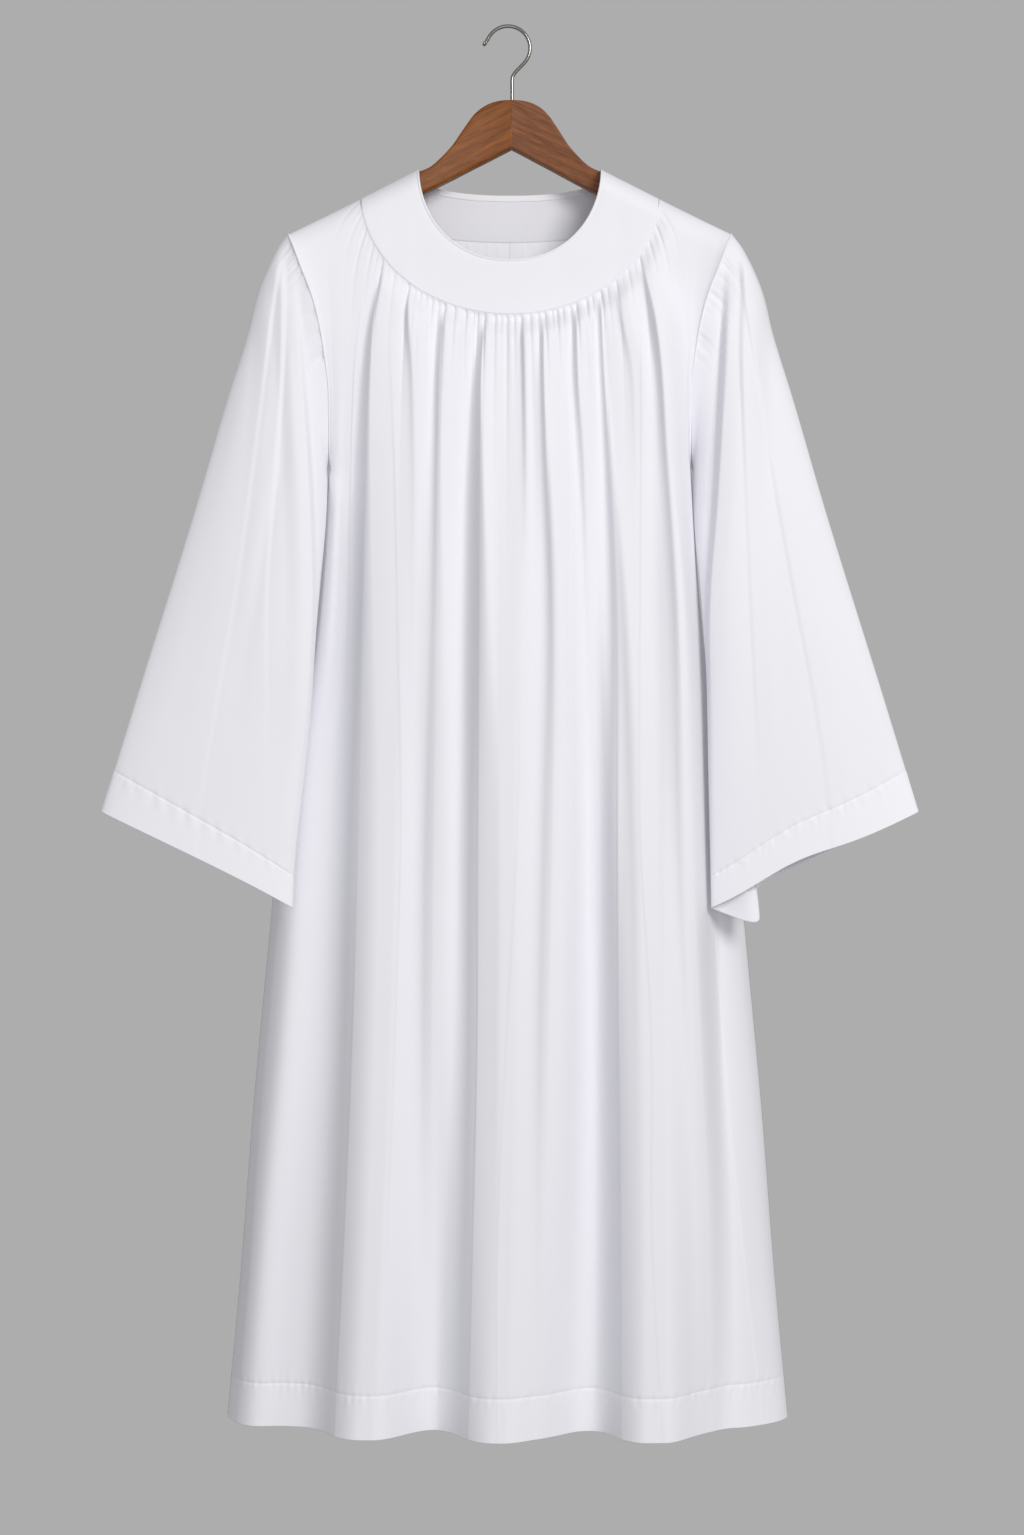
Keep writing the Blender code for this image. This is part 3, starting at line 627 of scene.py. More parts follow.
def add_mesh(name, points, faces, material, uv=None, uv_faces=None, layer_painted_light=None):
    """An object from points in mm and four-cornered faces, its UV map, and its painted light by
    layers at each point.
    """
    mesh = bpy.data.meshes.new(name)
    mesh.vertices.add(len(points))
    mesh.vertices.foreach_set("co", (points * MM).astype(np.float32).ravel())
    mesh.loops.add(faces.size)
    mesh.loops.foreach_set("vertex_index", faces.astype(np.int32).ravel())
    mesh.polygons.add(len(faces))
    mesh.polygons.foreach_set("loop_start", np.arange(0, faces.size, 4, dtype=np.int32))
    mesh.update(calc_edges=True)
    mesh.shade_smooth()
    if uv is not None:
        places = (uv * MM)[uv_faces.ravel()].astype(np.float32)
        mesh.uv_layers.new(name="cloth").data.foreach_set("uv", places.ravel())
    if layer_painted_light is not None:
        amount = mesh.attributes.new("layer_painted_light", "FLOAT", "POINT")
        amount.data.foreach_set("value", layer_painted_light.astype(np.float32).ravel())
    mesh.materials.append(material)
    piece = bpy.data.objects.new(name, mesh)
    bpy.context.scene.collection.objects.link(piece)
    return piece


def lengths_along(points, axis):
    """Distance from the first point to each one, measured along one axis of a grid."""
    gaps = np.linalg.norm(np.diff(points, axis=axis), axis=2)
    total = np.cumsum(gaps, axis=axis)
    return np.insert(total, 0, 0.0, axis=axis)


def merge_poles(piece, turn_out=False):
    """Joins the points that lie on one another, where a ring has no width."""
    shape = bmesh.new()
    shape.from_mesh(piece.data)
    bmesh.ops.remove_doubles(shape, verts=shape.verts, dist=POLE_DISTANCE)
    if turn_out:
        bmesh.ops.recalc_face_normals(shape, faces=shape.faces)
    shape.to_mesh(piece.data)
    shape.free()


def closed_piece(name, points, material):
    """A tube from rings of points, its end rings merged to one point where they have no width."""
    faces = grid_faces(*points.shape[:2], True, False)
    piece = add_mesh(name, points.reshape(-1, 3), faces, material)
    merge_poles(piece, turn_out=True)
    return piece


# Each cloth piece's greatest length round or across it, greatest length down it, and area.
CUTS = {}


def cloth_piece(name, points, layer_painted_light, material, around=False, flip=False, capped=False):
    """A sheet of cloth from a grid of points, rows x columns x 3, its UV map in true lengths.

    Where it is capped, a ring of no width at the middle of each end ring closes it, and a ring
    close beside the end keeps the corner crisp.
    """
    if capped:
        first, last = [points[k].mean(axis=0) + 0 * points[k] for k in (0, -1)]
        near_first = points[0] + (points[1] - points[0]) * CAP_EDGE
        near_last = points[-1] + (points[-2] - points[-1]) * CAP_EDGE
        rings = [first, points[0], near_first, *points[1:-1], near_last, points[-1], last]
        points = np.stack(rings)
    rows, columns = points.shape[:2]
    lapped = np.concatenate([points, points[:, :1]], axis=1) if around else points
    across = lengths_along(lapped, 1)
    round_it = across[:, -1].max() * MM
    across = across - across[:, lapped.shape[1] // 2][:, None]
    uv = np.stack([across, -lengths_along(lapped, 0)], axis=2).reshape(-1, 2)
    faces = grid_faces(rows, columns, around, flip)
    uv_faces = grid_faces(rows, lapped.shape[1], False, flip)
    layer_painted_light = np.broadcast_to(layer_painted_light, (rows, columns)).reshape(-1)
    piece = add_mesh(name, points.reshape(-1, 3), faces, material, uv, uv_faces, layer_painted_light)
    if capped:
        merge_poles(piece)
    areas = np.empty(len(piece.data.polygons))
    piece.data.polygons.foreach_get("area", areas)
    CUTS[name] = (round_it, lengths_along(points, 0)[-1].max() * MM, areas.sum())
    return piece


# Skirts


def at_fold_heights(height, values):
    """A smooth curve through the values that a line has at FOLD_HEIGHTS."""
    return smooth_curve(height, FOLD_HEIGHTS, values)


def folds(x, height, table):
    """How far the folds stand out.

    A fold's slope grows as a square from SLOPE_BEFORE to STEEPEST, eases to its line, drops a
    little there and dies away evenly over SLOPE_AFTER. Beyond its crown the fold falls away.
    """
    outward = np.zeros(np.broadcast(x, height).shape)
    slopes = (SLOPE_BEFORE, STEEPEST, SLOPE_AFTER)
    before, peak, after = [at_fold_heights(height, values) for values in slopes]
    grown = (before - peak) / 3
    eased = peak * (1 + STEEP_AT_LINE) / 2
    rest = after * STEEP_PAST_LINE / 2
    for line, reaches, crown, fall, scale in table:
        past = (x - at_fold_heights(height, line)) / scale
        reach = np.maximum(at_fold_heights(height, reaches), 0.0)
        first = np.clip((past + before) / (before - peak), 0.0, 1.0)
        second = np.clip(1 + past / peak, 0.0, 1.0)
        third = np.clip(past / after, 0.0, 1.0)
        climb = grown * first**3
        climb = climb + peak * (second - (1 - STEEP_AT_LINE) * second**2 / 2)
        climb = climb + rest * (1 - (1 - third) ** 2)
        down = 1 - step((past * scale - crown) / fall)
        outward = outward + reach * climb / (grown + eased + rest) * down
    return outward


def troughs(x, height, table):
    """How far soft bell-shaped troughs and ridges move the cloth out."""
    outward = np.zeros(np.broadcast(x, height).shape)
    for line, depths, width in table:
        past = x - at_fold_heights(height, line)
        outward = outward - at_fold_heights(height, depths) * bell(past / width)
    return outward


def fine_creases(x, height):
    """How far the fine creases stand up: a quick climb to the line, then an exponential fall."""
    outward = np.zeros(np.broadcast(x, height).shape)
    for line, reaches in FINE_CREASES:
        past = x - at_fold_heights(height, line)
        reach = np.maximum(at_fold_heights(height, reaches), 0.0)
        climb = step(past / CREASE_CLIMB + 1)
        outward = outward + reach * climb * np.exp(-np.maximum(past, 0.0) / CREASE_FALL)
    return outward


def swells(across, height):
    """How far the back's broad folds stand out: up over one flank, down over the other."""
    outward = np.zeros(np.broadcast(across, height).shape)
    for start, end, rise, fall, at_hem, at_middle, at_top in BACK_SWELLS:
        reach = np.interp(height, SWELL_HEIGHTS, (at_hem, at_middle, at_top, 0.0))
        up = step((across - start + rise / 2) / rise)
        down = 1 - step((across - end + fall / 2) / fall)
        outward = outward + reach * up * down
    return outward


def drawn_gathers(seam_length, draw):
    """Gathers for the back, drawn one after another along the seam: place, depth, length."""
    rows = []
    place = draw.uniform(*BACK_SPACING)
    while place < seam_length:
        rows.append((place, draw.uniform(*BACK_DEPTH), draw.uniform(*BACK_LENGTH)))
        place += draw.uniform(*BACK_SPACING)
    return rows


def gathers(across, below, pitch, rows):
    """Pinched grooves from the seam, each widening and dying away below.

    pitch is the local length of cloth for each step across, in mm. A groove falls off as an
    exponential: slowly on its soft side, which is its left, and fast on its sharp side.
    """
    inward = np.zeros(pitch.shape)
    for centre, depth, length in rows:
        past = (centre - across) * pitch
        pinch = GATHER_PINCH * (1 + below / GATHER_SPREAD)
        pinch = pinch * np.where(past > 0, SOFT_SIDE, SHARP_SIDE)
        inward += depth * np.exp(-np.abs(past) / pinch) * np.exp(-below / length)
    return -inward * (1 - np.exp(-below / GATHER_START))


def streaks(across, below, pitch, draw):
    """Soft troughs and ridges that hang down the cloth, each of its own place, width, length."""
    outward = np.zeros(pitch.shape)
    for _ in range(STREAKS):
        centre = draw.uniform(across[0], across[-1])
        width = draw.uniform(*STREAK_WIDTH)
        depth = draw.uniform(*STREAK_DEPTH)
        top = draw.uniform(*STREAK_TOP)
        length = draw.uniform(*STREAK_LENGTH)
        lean = draw.uniform(*STREAK_LEAN)
        shape = bell((across - centre - lean * (below - top)) * pitch / width)
        end = 1 - step((below - top - length) / STREAK_END)
        outward += depth * shape * step((below - top) / STREAK_START) * end
    return outward


def hem_marks(along, above, draw):
    """The stitched groove at the top of a hem, and the small uneven puckers either side of it."""
    groove = -STITCH_GROOVE * bell((above - HEM_WIDTH) / STITCH_GROOVE_WIDTH)
    ripple = np.zeros(along.shape)
    for _ in range(PUCKERS):
        pace = 2 * pi / draw.uniform(*PUCKER_LENGTH)
        slant = draw.uniform(*PUCKER_SLANT)
        wave = np.sin(pace * (along + slant * above) + draw.uniform(0, 2 * pi))
        ripple += wave / PUCKER_SCALE
    return groove + PUCKER_DEPTH * ripple * bell((above - HEM_WIDTH + PUCKER_DROP) / PUCKER_REACH)


def turned_rows(points, above, inside, under):
    """A hem turned under: the cloth, the row under its edge, then every second row back up
    inside it, the last one drawn close to the cloth."""
    rows = points + inside * TURNED_GAP
    kept = np.nonzero(above[:, 0] < HEM_WIDTH)[0][::-2]
    tuck = points[kept[-1]] + inside[kept[-1]] * TURNED_EDGE_GAP
    return np.concatenate([points, under[None], rows[kept], tuck[None]])


def turned_hem(points, above, inward):
    """A skirt with its hem turned under, a small gap from the cloth.

    inward is 1 where the columns run to the right on the front of the garment, -1 at the back.
    """
    tangent = unit(np.gradient(points[..., :2], axis=1))
    inside = np.zeros_like(points)
    inside[..., 0] = -tangent[..., 1] * inward
    inside[..., 1] = tangent[..., 0] * inward
    under = points[-1] + inside[-1] * TURNED_GAP / 2
    under[:, 2] -= TURNED_GAP / 2
    return turned_rows(points, above, inside, under)


def hem_painted_light(above):
    """1 in the turned hem, 0 above it."""
    return step((HEM_WIDTH - above) / HEM_PAINTED_LIGHT_FADE)


def skirt_points(across, back, draw):
    """Points of a skirt, and how far each row is above the hem.

    Each column starts on the seam above and soon hangs straight. Depth is the unfolded
    cloth, moved out by the folds, the gathers and the soft streaks.
    """
    top_x, top_height = panel_top(across, back)
    upper = np.array(ROWS_BELOW)[:, None] + 0 * across
    lower = (top_height - HEM_HEIGHT) - np.array(ROWS_ABOVE_HEM)[:, None]
    share = (np.arange(MIDDLE_ROWS) + 1)[:, None] / (MIDDLE_ROWS + 1)
    middle = upper[-1] + (lower[0] - upper[-1]) * share
    below = np.concatenate([upper, middle, lower])
    height = top_height - below
    out = np.abs(across)
    offset = np.abs(top_x) - column_place(out, top_height)
    x = np.sign(across) * (column_place(out, height) + offset * np.exp(-below / COLUMN_SETTLE))
    depth = cloth_depth(x, height, back)
    base = np.stack([x, depth, height], axis=2)
    along = lengths_along(base, 1)
    pitch = np.gradient(along, axis=1) / np.gradient(across)
    fade = step((1 - out) / SIDE_FADE) * (step(out / CENTRE_FADE) if back else 1.0)
    if back:
        big = swells(across, height)
        seam = np.concatenate([[0.0], np.cumsum(pitch[0, 1:] * np.diff(across))])
        rows = drawn_gathers(seam[-1], draw)
        rows = [(np.interp(place, seam, across), *shape) for place, *shape in rows]
    else:
        big = folds(x, height, LONG_FOLDS + SMALL_FOLDS) + fine_creases(x, height)
        retreat = at_fold_heights(height, RETREAT) * step((1 - out) / RETREAT_FADE)
        big = big + troughs(x, height, TROUGHS) - retreat
        turn = np.arcsin([row[0] / (YOKE_HALF_WIDTH + SEAM_GAP) for row in FRONT_GATHERS])
        places = turn / (pi / 2) * YOKE_SHARE
        rows = [(place, *row[1:]) for place, row in zip(places, FRONT_GATHERS)]
    big = big * fade * step(below / FOLD_START)
    small = gathers(across, below, pitch, rows) * (out < YOKE_SHARE) * fade
    small = small + streaks(across, below, pitch, draw) * fade
    above = height - HEM_HEIGHT
    small = small + hem_marks(along, above, draw) * fade
    side = 1 if back else -1
    return np.stack([x, depth + side * (big + small), height], axis=2), above


def tucked_edge(points, across, side):
    """The edge that tucks up under the yoke; on the shoulder it only meets the other skirt."""
    under = step((YOKE_SHARE - np.abs(across)) / TUCK_FADE)
    edge = points[0].copy()
    edge[:, 1] -= side * (SHOULDER_INSET + TUCK_INSET * under)
    edge[:, 2] += TUCK_HEIGHT * under
    return edge


def sway(points):
    """The skirt hangs a little to the left, more from the underarm down."""
    points[..., 0] -= SKIRT_SWAY * step((UNDERARM_HEIGHT - points[..., 2]) / SWAY_LENGTH)
    return points


def crowded(places, low, high, count):
    """Columns from low to high, closer together near the given places."""
    fine = np.linspace(low, high, CROWD_STEPS)
    weight = 1.0 + sum(CROWD_WEIGHT * bell((fine - place) / CROWD_WIDTH) for place in places)
    total = np.concatenate([[0.0], np.cumsum((weight[1:] + weight[:-1]) / 2)])
    return np.interp(np.linspace(0, total[-1], count), total, fine)


def make_skirt(name, across, back, side, draw, cloth):
    """One skirt. A back skirt is worked out on the right and put on its own side of the seam."""
    points, above = skirt_points(across, back, draw)
    tucked = tucked_edge(points, across, 1 if back else -1)
    full = np.concatenate([tucked[None], turned_hem(points, above, -1 if back else 1)])
    # Painted light: the turned hem is painted whiter, and at the back the seam allowance under the
    # yoke is painted whitest, lifting the shade inside the neck.
    layer_painted_light = HEM_PAINTED_LIGHT * hem_painted_light(above)
    if back:
        below = points[0, :, 2] - points[..., 2]
        allowance = 1 - step((below - SEAM_ALLOWANCE) / ALLOWANCE_FADE)
        layer_painted_light = SEAM_PAINTED_LIGHT * (allowance * (across < YOKE_SHARE)) + layer_painted_light
        full[..., 0] = side * (full[..., 0] + SEAM_GAP / 2)
    turned = layer_painted_light[-1:].repeat(len(full) - len(layer_painted_light) - 1, 0)
    layer_painted_light = np.concatenate([layer_painted_light[:1], layer_painted_light, turned])
    return cloth_piece(name, sway(full), layer_painted_light, cloth, flip=back and side > 0)


def make_skirts(cloth):
    """The front skirt in one, and the two back skirts with a seam between them."""
    draw = np.random.default_rng(SEED)
    front = crowded(FRONT_CROWDED, -1.0, 1.0, FRONT_COLUMNS)
    back = crowded(BACK_CROWDED, 0.0, 1.0, BACK_COLUMNS)
    return {
        "front_skirt": make_skirt("front_skirt", front, False, 1, draw, cloth),
        "back_skirt_left": make_skirt("back_skirt_left", back, True, -1, draw, cloth),
        "back_skirt_right": make_skirt("back_skirt_right", back, True, 1, draw, cloth),
    }


# Yokes, neck facing and armhole seams

# Across a doubled edge-to-edge section of the yoke: share from the neck edge (0) to the
# gathered seam (1), and how far the cloth stands out from its middle surface. It runs down
# the face, round the seam edge, and back up the lining to the neck roll.
YOKE_SECTION = np.array([
    # share, out
    (0, 0.15), (0.002, 0.75), (0.008, 1.3), (0.018, 1.55), (0.03, 1.35), (0.04, 0.85),
    (0.046, 0.55), (0.054, 0.78), (0.07, 0.92), (0.18, 0.92), (0.26, 0.92), (0.34, 0.92),
    (0.42, 0.92), (0.5, 0.92), (0.58, 0.92), (0.66, 0.92), (0.74, 0.92), (0.82, 0.92),
    (0.89, 0.92), (0.93, 0.92), (0.958, 0.9), (0.976, 0.86), (0.988, 0.76), (0.997, 0.55),
    (1.001, 0.25), (1, 0), (0.99, -0.45), (0.96, -0.55), (0.8, -0.6), (0.6, -0.6), (0.4, -0.6),
    (0.2, -0.6), (0.06, -0.6), (0.015, -0.55), (0.003, -0.35),
])
YOKE_TURNS = 320
YOKE_TURN_POWER = 1.35
YOKE_WRINKLES = 16
YOKE_WRINKLE_DEPTH = (-0.28, 0.2)
YOKE_WRINKLE_WIDTH = (4.0, 10.0)
# Wrinkles lie on the face, which stands out more than this, and fade near the neck edge.
FACE_OUT = 0.8
NECK_FADE = 0.15


def yoke_points(angles, back, draw):
    """A doubled band between the neck edge and the gathered seam, as a ring at each angle.

    The middle surface is the unfolded cloth; each ring goes round YOKE_SECTION, set out
    along Y. A few very faint upright wrinkles run down the face.
    """
    angles = angles[:, None]
    share, out = YOKE_SECTION[:, 0], YOKE_SECTION[:, 1]
    neck_x, neck_height = neck_curve(angles, back)
    seam_x, seam_height = yoke_curve(angles, back)
    x = neck_x + (seam_x - neck_x) * share
    height = neck_height + (seam_height - neck_height) * share
    wrinkle = np.zeros(x.shape)
    for _ in range(YOKE_WRINKLES):
        centre = draw.uniform(-YOKE_HALF_WIDTH, YOKE_HALF_WIDTH)
        depth = draw.uniform(*YOKE_WRINKLE_DEPTH)
        wrinkle += depth * bell((x - centre) / draw.uniform(*YOKE_WRINKLE_WIDTH))
    out = out + wrinkle * (out > FACE_OUT) * step(share / NECK_FADE)
    depth = cloth_depth(x, height, back) + (out if back else -out)
    return np.stack([x, depth, height], axis=2)


def yoke_angles(turn):
    """Angles from the middle of the neck to the shoulders, closer together near the shoulders."""
    return pi / 2 * np.sign(turn) * (1 - (1 - np.abs(turn)) ** YOKE_TURN_POWER)


def make_yokes(cloth):
    """The front yoke in one, and the two back yokes, which meet at the middle."""
    # The doubled yokes get only a little painted light.
    doubled = {"layer_painted_light": YOKE_PAINTED_LIGHT, "material": cloth, "around": True, "capped": True}
    draw = np.random.default_rng(SEED + 1)
    points = yoke_points(yoke_angles(np.linspace(-1, 1, YOKE_TURNS)), False, draw)
    made = {"front_yoke": cloth_piece("front_yoke", points, flip=True, **doubled)}
    for side, name in ((-1, "back_yoke_left"), (1, "back_yoke_right")):
        points = yoke_points(yoke_angles(np.linspace(0, 1, YOKE_TURNS // 2)), True, draw)
        points[..., 0] = side * (points[..., 0] + YOKE_GAP / 2)
        made[name] = cloth_piece(name, points, flip=side < 0, **doubled)
    return made


def make_facing(cloth):
    """The strip inside the back neck, painted whitest with painted light: a narrow doubled tape
    that follows the neck edge.

    Its section is a squared oval, made thinner by a bell-shaped nick at the middle.
    """
    reach = np.linspace(-FACING_REACH, FACING_REACH, FACING_COLUMNS)
    around = np.linspace(0, 2 * pi, FACING_SIDES, endpoint=False)
    neck_x, neck_height = neck_curve(np.radians(reach)[:, None], True)
    down = FACING_WIDTH / 2 * (1 - squared(np.cos(around), FACING_SQUARENESS))
    out = TAPE_HALF_THICKNESS * squared(np.sin(around), FACING_SQUARENESS)
    height = neck_height - FACING_DROP - down
    nick = NICK_DEPTH * bell(neck_x / NICK_WIDTH)
    depth = cloth_depth(neck_x, height, True) - FACING_CLEARANCE + out * (1 - nick)
    points = np.stack([neck_x + 0 * down, depth, height], axis=2)
    return cloth_piece("back_neck_tape", points, SEAM_PAINTED_LIGHT, cloth, around=True, capped=True)


def armhole_ring(turn):
    """The armhole loop from the shoulder tip, down the front to the underarm and up the back."""
    across = (1 - np.cos(turn)) / 2
    height = SHOULDER_TIP_HEIGHT + (UNDERARM_HEIGHT - SHOULDER_TIP_HEIGHT) * across
    x = body_level(1, height)
    front = cloth_depth(x, height, False)
    back = cloth_depth(x, height, True)
    return np.stack([x, np.where(turn <= pi, front, back), height], axis=-1)


def tube_points(path, radius, sides):
    """Rings of the given radius round a path, each ring square to the path."""
    ahead = np.gradient(path, axis=0)
    ahead /= np.linalg.norm(ahead, axis=1, keepdims=True)
    flat = unit(np.cross(ahead, (0.0, 1.0, 0.0)))
    up = np.cross(flat, ahead)
    turn = np.linspace(0, 2 * pi, sides, endpoint=False)[None, :, None]
    ring = np.cos(turn) * flat[:, None] + np.sin(turn) * up[:, None]
    return path[:, None] + ring * np.broadcast_to(radius, len(path))[:, None, None]


def armhole_welt(name, side, cloth):
    """The raised seam line round an armhole: a thin rounded welt that follows the armhole loop.

    It is set out in Y by a low power of the sine, and thinned by a bell at the underarm.
    """
    turn = np.linspace(WELT_END, 2 * pi - WELT_END, WELT_ROWS)
    path = armhole_ring(turn)
    path[:, 0] += SEAM_GAP
    outset = np.where(turn < pi, WELT_OUTSET, -WELT_OUTSET)
    path[:, 1] -= outset * np.abs(np.sin(turn)) ** WELT_OUTSET_POWER
    thinner = WELT_THINNING * bell((turn - pi) / WELT_THINNING_TURN)
    points = tube_points(path, WELT_RADIUS * (1 - thinner), WELT_SIDES)
    points[..., 0] *= side
    flip = side < 0
    # The welt is painted a little whiter, as painted light.
    return cloth_piece(name, points, WELT_PAINTED_LIGHT, cloth, around=True, flip=flip, capped=True)


# Sleeves


def sleeve_edge(table, share):
    """x, y and height of an edge of the sleeve, part of the way along it."""
    return np.stack([smooth_curve(share, table[:, 0], table[:, k]) for k in (1, 2, 3)], axis=-1)


def flat_ring(turn, share, bulge):
    """An oval between the sleeve's outer and inner edges: its front is a sine that stands bulge
    out, its back a squared sine that goes back further."""
    outer = sleeve_edge(SLEEVE_OUTER, share)
    inner = sleeve_edge(SLEEVE_INNER, share)
    across = ((1 - np.cos(turn)) / 2)[..., None]
    ring = outer + (inner - outer) * across
    back = SLEEVE_BACK_BULGE * np.sin(turn) ** 2
    ring[..., 1] -= np.sin(turn) * np.where(turn < pi, bulge, back)
    return ring


def sleeve_folds(x, height, folds):
    """Creases down a sleeve: a soft flank up to each line, then a gentle fall, and an
    exponential dip before the flank."""
    outward = np.zeros(x.shape)
    for line, reaches, crown, fall in folds:
        past = x - smooth_curve(height, SLEEVE_HEIGHTS, line)
        reach = np.maximum(smooth_curve(height, SLEEVE_HEIGHTS, reaches), 0.0)
        climb = step(past / SLEEVE_FLANK + 1)
        down = 1 - step((past - crown) / fall)
        dip = np.exp(np.minimum(past + SLEEVE_FLANK, 0.0) / SLEEVE_GROOVE) * (1 - climb)
        outward += reach * (climb * down - SLEEVE_DIP * dip)
    return outward


def sleeve_shares():
    """Shares along the sleeve for its rows: closer together at the head, then as ROWS_ABOVE_HEM
    has them at the hem's stitches and edge."""
    share = np.linspace(0, 1, SLEEVE_ROWS) ** SLEEVE_ROW_POWER
    above = [row for row in ROWS_ABOVE_HEM if row < SLEEVE_HEM_ROWS]
    hem = 1 - np.array(above) / SLEEVE_LENGTH
    return np.concatenate([share[share < hem[0] - SLEEVE_ROW_GAP], hem])[:, None]


def head_gathers(turns, length, pitch, draw):
    """Grooves at the sleeve's head, the same on its front and back: exponential across, and
    exponential down from a quick start."""
    inward = np.zeros(turns.shape)
    count = HEAD_GATHER_COUNT
    head = 1 - step(length / SLEEVE_LENGTH / HEAD_SHARE)
    start = 1 - np.exp(-length / HEAD_GATHER_START)
    pinch = HEAD_GATHER_PINCH * (1 + length / HEAD_GATHER_SPREAD)
    nearer = np.minimum(turns, 2 * pi - turns)
    place = draw.uniform(*HEAD_GATHERS, count)
    depths = draw.uniform(*HEAD_GATHER_DEPTH, count)
    for centre, depth, reach in zip(place, depths, draw.uniform(*HEAD_GATHER_LENGTH, count)):
        groove = np.exp(-np.abs(nearer - centre) * pitch / pinch)
        inward += depth * groove * np.exp(-length / reach) * head * start
    return inward


def sleeve_points(side, draw):
    """Rings down one sleeve: the armhole loop fades into a flat hanging oval with creases.

    HEM_MOVES then swings the left hem out from the skirt, and on the right lifts the front
    layer and turns the seam corner in behind it, each by a bell round the sleeve.
    """
    turn = np.linspace(0, 2 * pi, SLEEVE_TURNS, endpoint=False)[None, :]
    share = sleeve_shares()
    bulge = SLEEVE_BULGE_TOP + (SLEEVE_BULGE_HEM - SLEEVE_BULGE_TOP) * share
    turns, shares = np.broadcast_arrays(turn, share)
    seam = armhole_ring(turn[0])
    offset = seam - flat_ring(turn, np.zeros((1, 1)), SLEEVE_BULGE_TOP)[0]
    low = np.sin(turn / 2) ** 2
    outward = SEAM_GAP + SLEEVE_OUTSET + UNDERARM_OUTSET * low
    outset = np.stack([outward, 0 * turn, UNDERARM_OUTSET * low**4], axis=2)
    settled = offset * np.exp(-share / SLEEVE_SETTLE)[..., None]
    points = flat_ring(turns, shares, bulge) + settled + outset
    x, height = points[..., 0], points[..., 2]
    front = np.clip(np.sin(turns), -1, 1)
    layer = step(np.abs(front) / LAYER_FADE)
    creases = LEFT_SLEEVE_FOLDS if side < 0 else RIGHT_SLEEVE_FOLDS
    relief = sleeve_folds(x, height, creases) * layer * step(share / SLEEVE_FOLD_START)
    length = share * SLEEVE_LENGTH
    along = lengths_along(points, 1)
    pitch = np.gradient(along, axis=1) / np.gradient(turn[0])
    small = streaks(turn[0], length, pitch, draw) * layer * SLEEVE_STREAKS
    above = (1 - share) * SLEEVE_LENGTH
    small += hem_marks(along, above, draw) * layer
    small -= head_gathers(turns, length, pitch, draw)
    points[..., 1] -= np.sign(front) * (relief + small)
    for _side, place, spread, begin, *move in HEM_MOVES[HEM_MOVES[:, 0] == side]:
        pull = bell((turns / pi - place) / spread) * step((shares - begin) / (1 - begin))
        points += pull[..., None] * np.array(move)
    return points, above


def turned_cuff(points, above):
    """A sleeve with its hem turned under, a small gap from the cloth."""
    tangent = np.roll(points, -1, axis=1) - np.roll(points, 1, axis=1)
    down = np.gradient(points, axis=0)
    inside = unit(np.cross(tangent, down))
    centre = points.mean(axis=1, keepdims=True)
    inside *= np.sign(((centre - points) * inside).sum(axis=(1, 2), keepdims=True))
    under = points[-1] + inside[-1] * TURNED_GAP / 2 + unit(down[-1]) * TURNED_GAP / 2
    return turned_rows(points, above, inside, under)


def make_sleeves(cloth):
    """The two sleeves, each from its own random draws."""
    made = {}
    for side, name in ((-1, "left_sleeve"), (1, "right_sleeve")):
        draw = np.random.default_rng(SEED + 5 + side)
        points, above = sleeve_points(side, draw)
        full = turned_cuff(points, above)
        # The turned cuff is painted whiter, as painted light.
        layer_painted_light = CUFF_PAINTED_LIGHT * hem_painted_light(above) + np.zeros((1, SLEEVE_TURNS))
        layer_painted_light = np.concatenate([layer_painted_light, layer_painted_light[-1:].repeat(len(full) - len(layer_painted_light), 0)])
        full[..., 0] *= side
        made[name] = cloth_piece(name, full, layer_painted_light, cloth, around=True, flip=side > 0)
    return made


# Hanger and hook


def hanger_arm_points(side):
    """An arm as superellipse slices: nearly square at the mitre, oval at the rounded end.

    The slices close to a point at both ends, over a small rounded edge.
    """
    last = HANGER_SECTIONS[-1, 0]
    distance = last * (1 - np.linspace(1, 0, ARM_ROWS) ** ARM_ROW_POWER)
    tip = last + np.array(TIP_PLACES)
    place = np.concatenate([MITRE_PLACES, distance + ARM_START, tip])
    size = np.concatenate([MITRE_SIZES, np.ones(ARM_ROWS), TIP_SIZES])
    top, bottom, half, square = [
        np.pad(smooth_curve(distance, HANGER_SECTIONS[:, 0], values), len(tip), "edge")
        for values in HANGER_SECTIONS[:, 1:].T
    ]
    turn = np.arange(SECTION_POINTS) * 2 * pi / SECTION_POINTS
    power = (2 / square)[:, None]
    y = half[:, None] * squared(np.cos(turn), power)
    rise = ((top - bottom) / 2)[:, None] * squared(np.sin(turn), power)
    centre = HANGER_CENTRE_X * step(1 - place / NECK_HALF_WIDTH)
    x = (centre + side * (place + MITRE_GAP / 2))[:, None] + 0 * y
    height = rise * size[:, None] + ((top + bottom) / 2)[:, None]
    return np.stack([x, y * size[:, None] + ridge_depth(place)[:, None], height], axis=2)


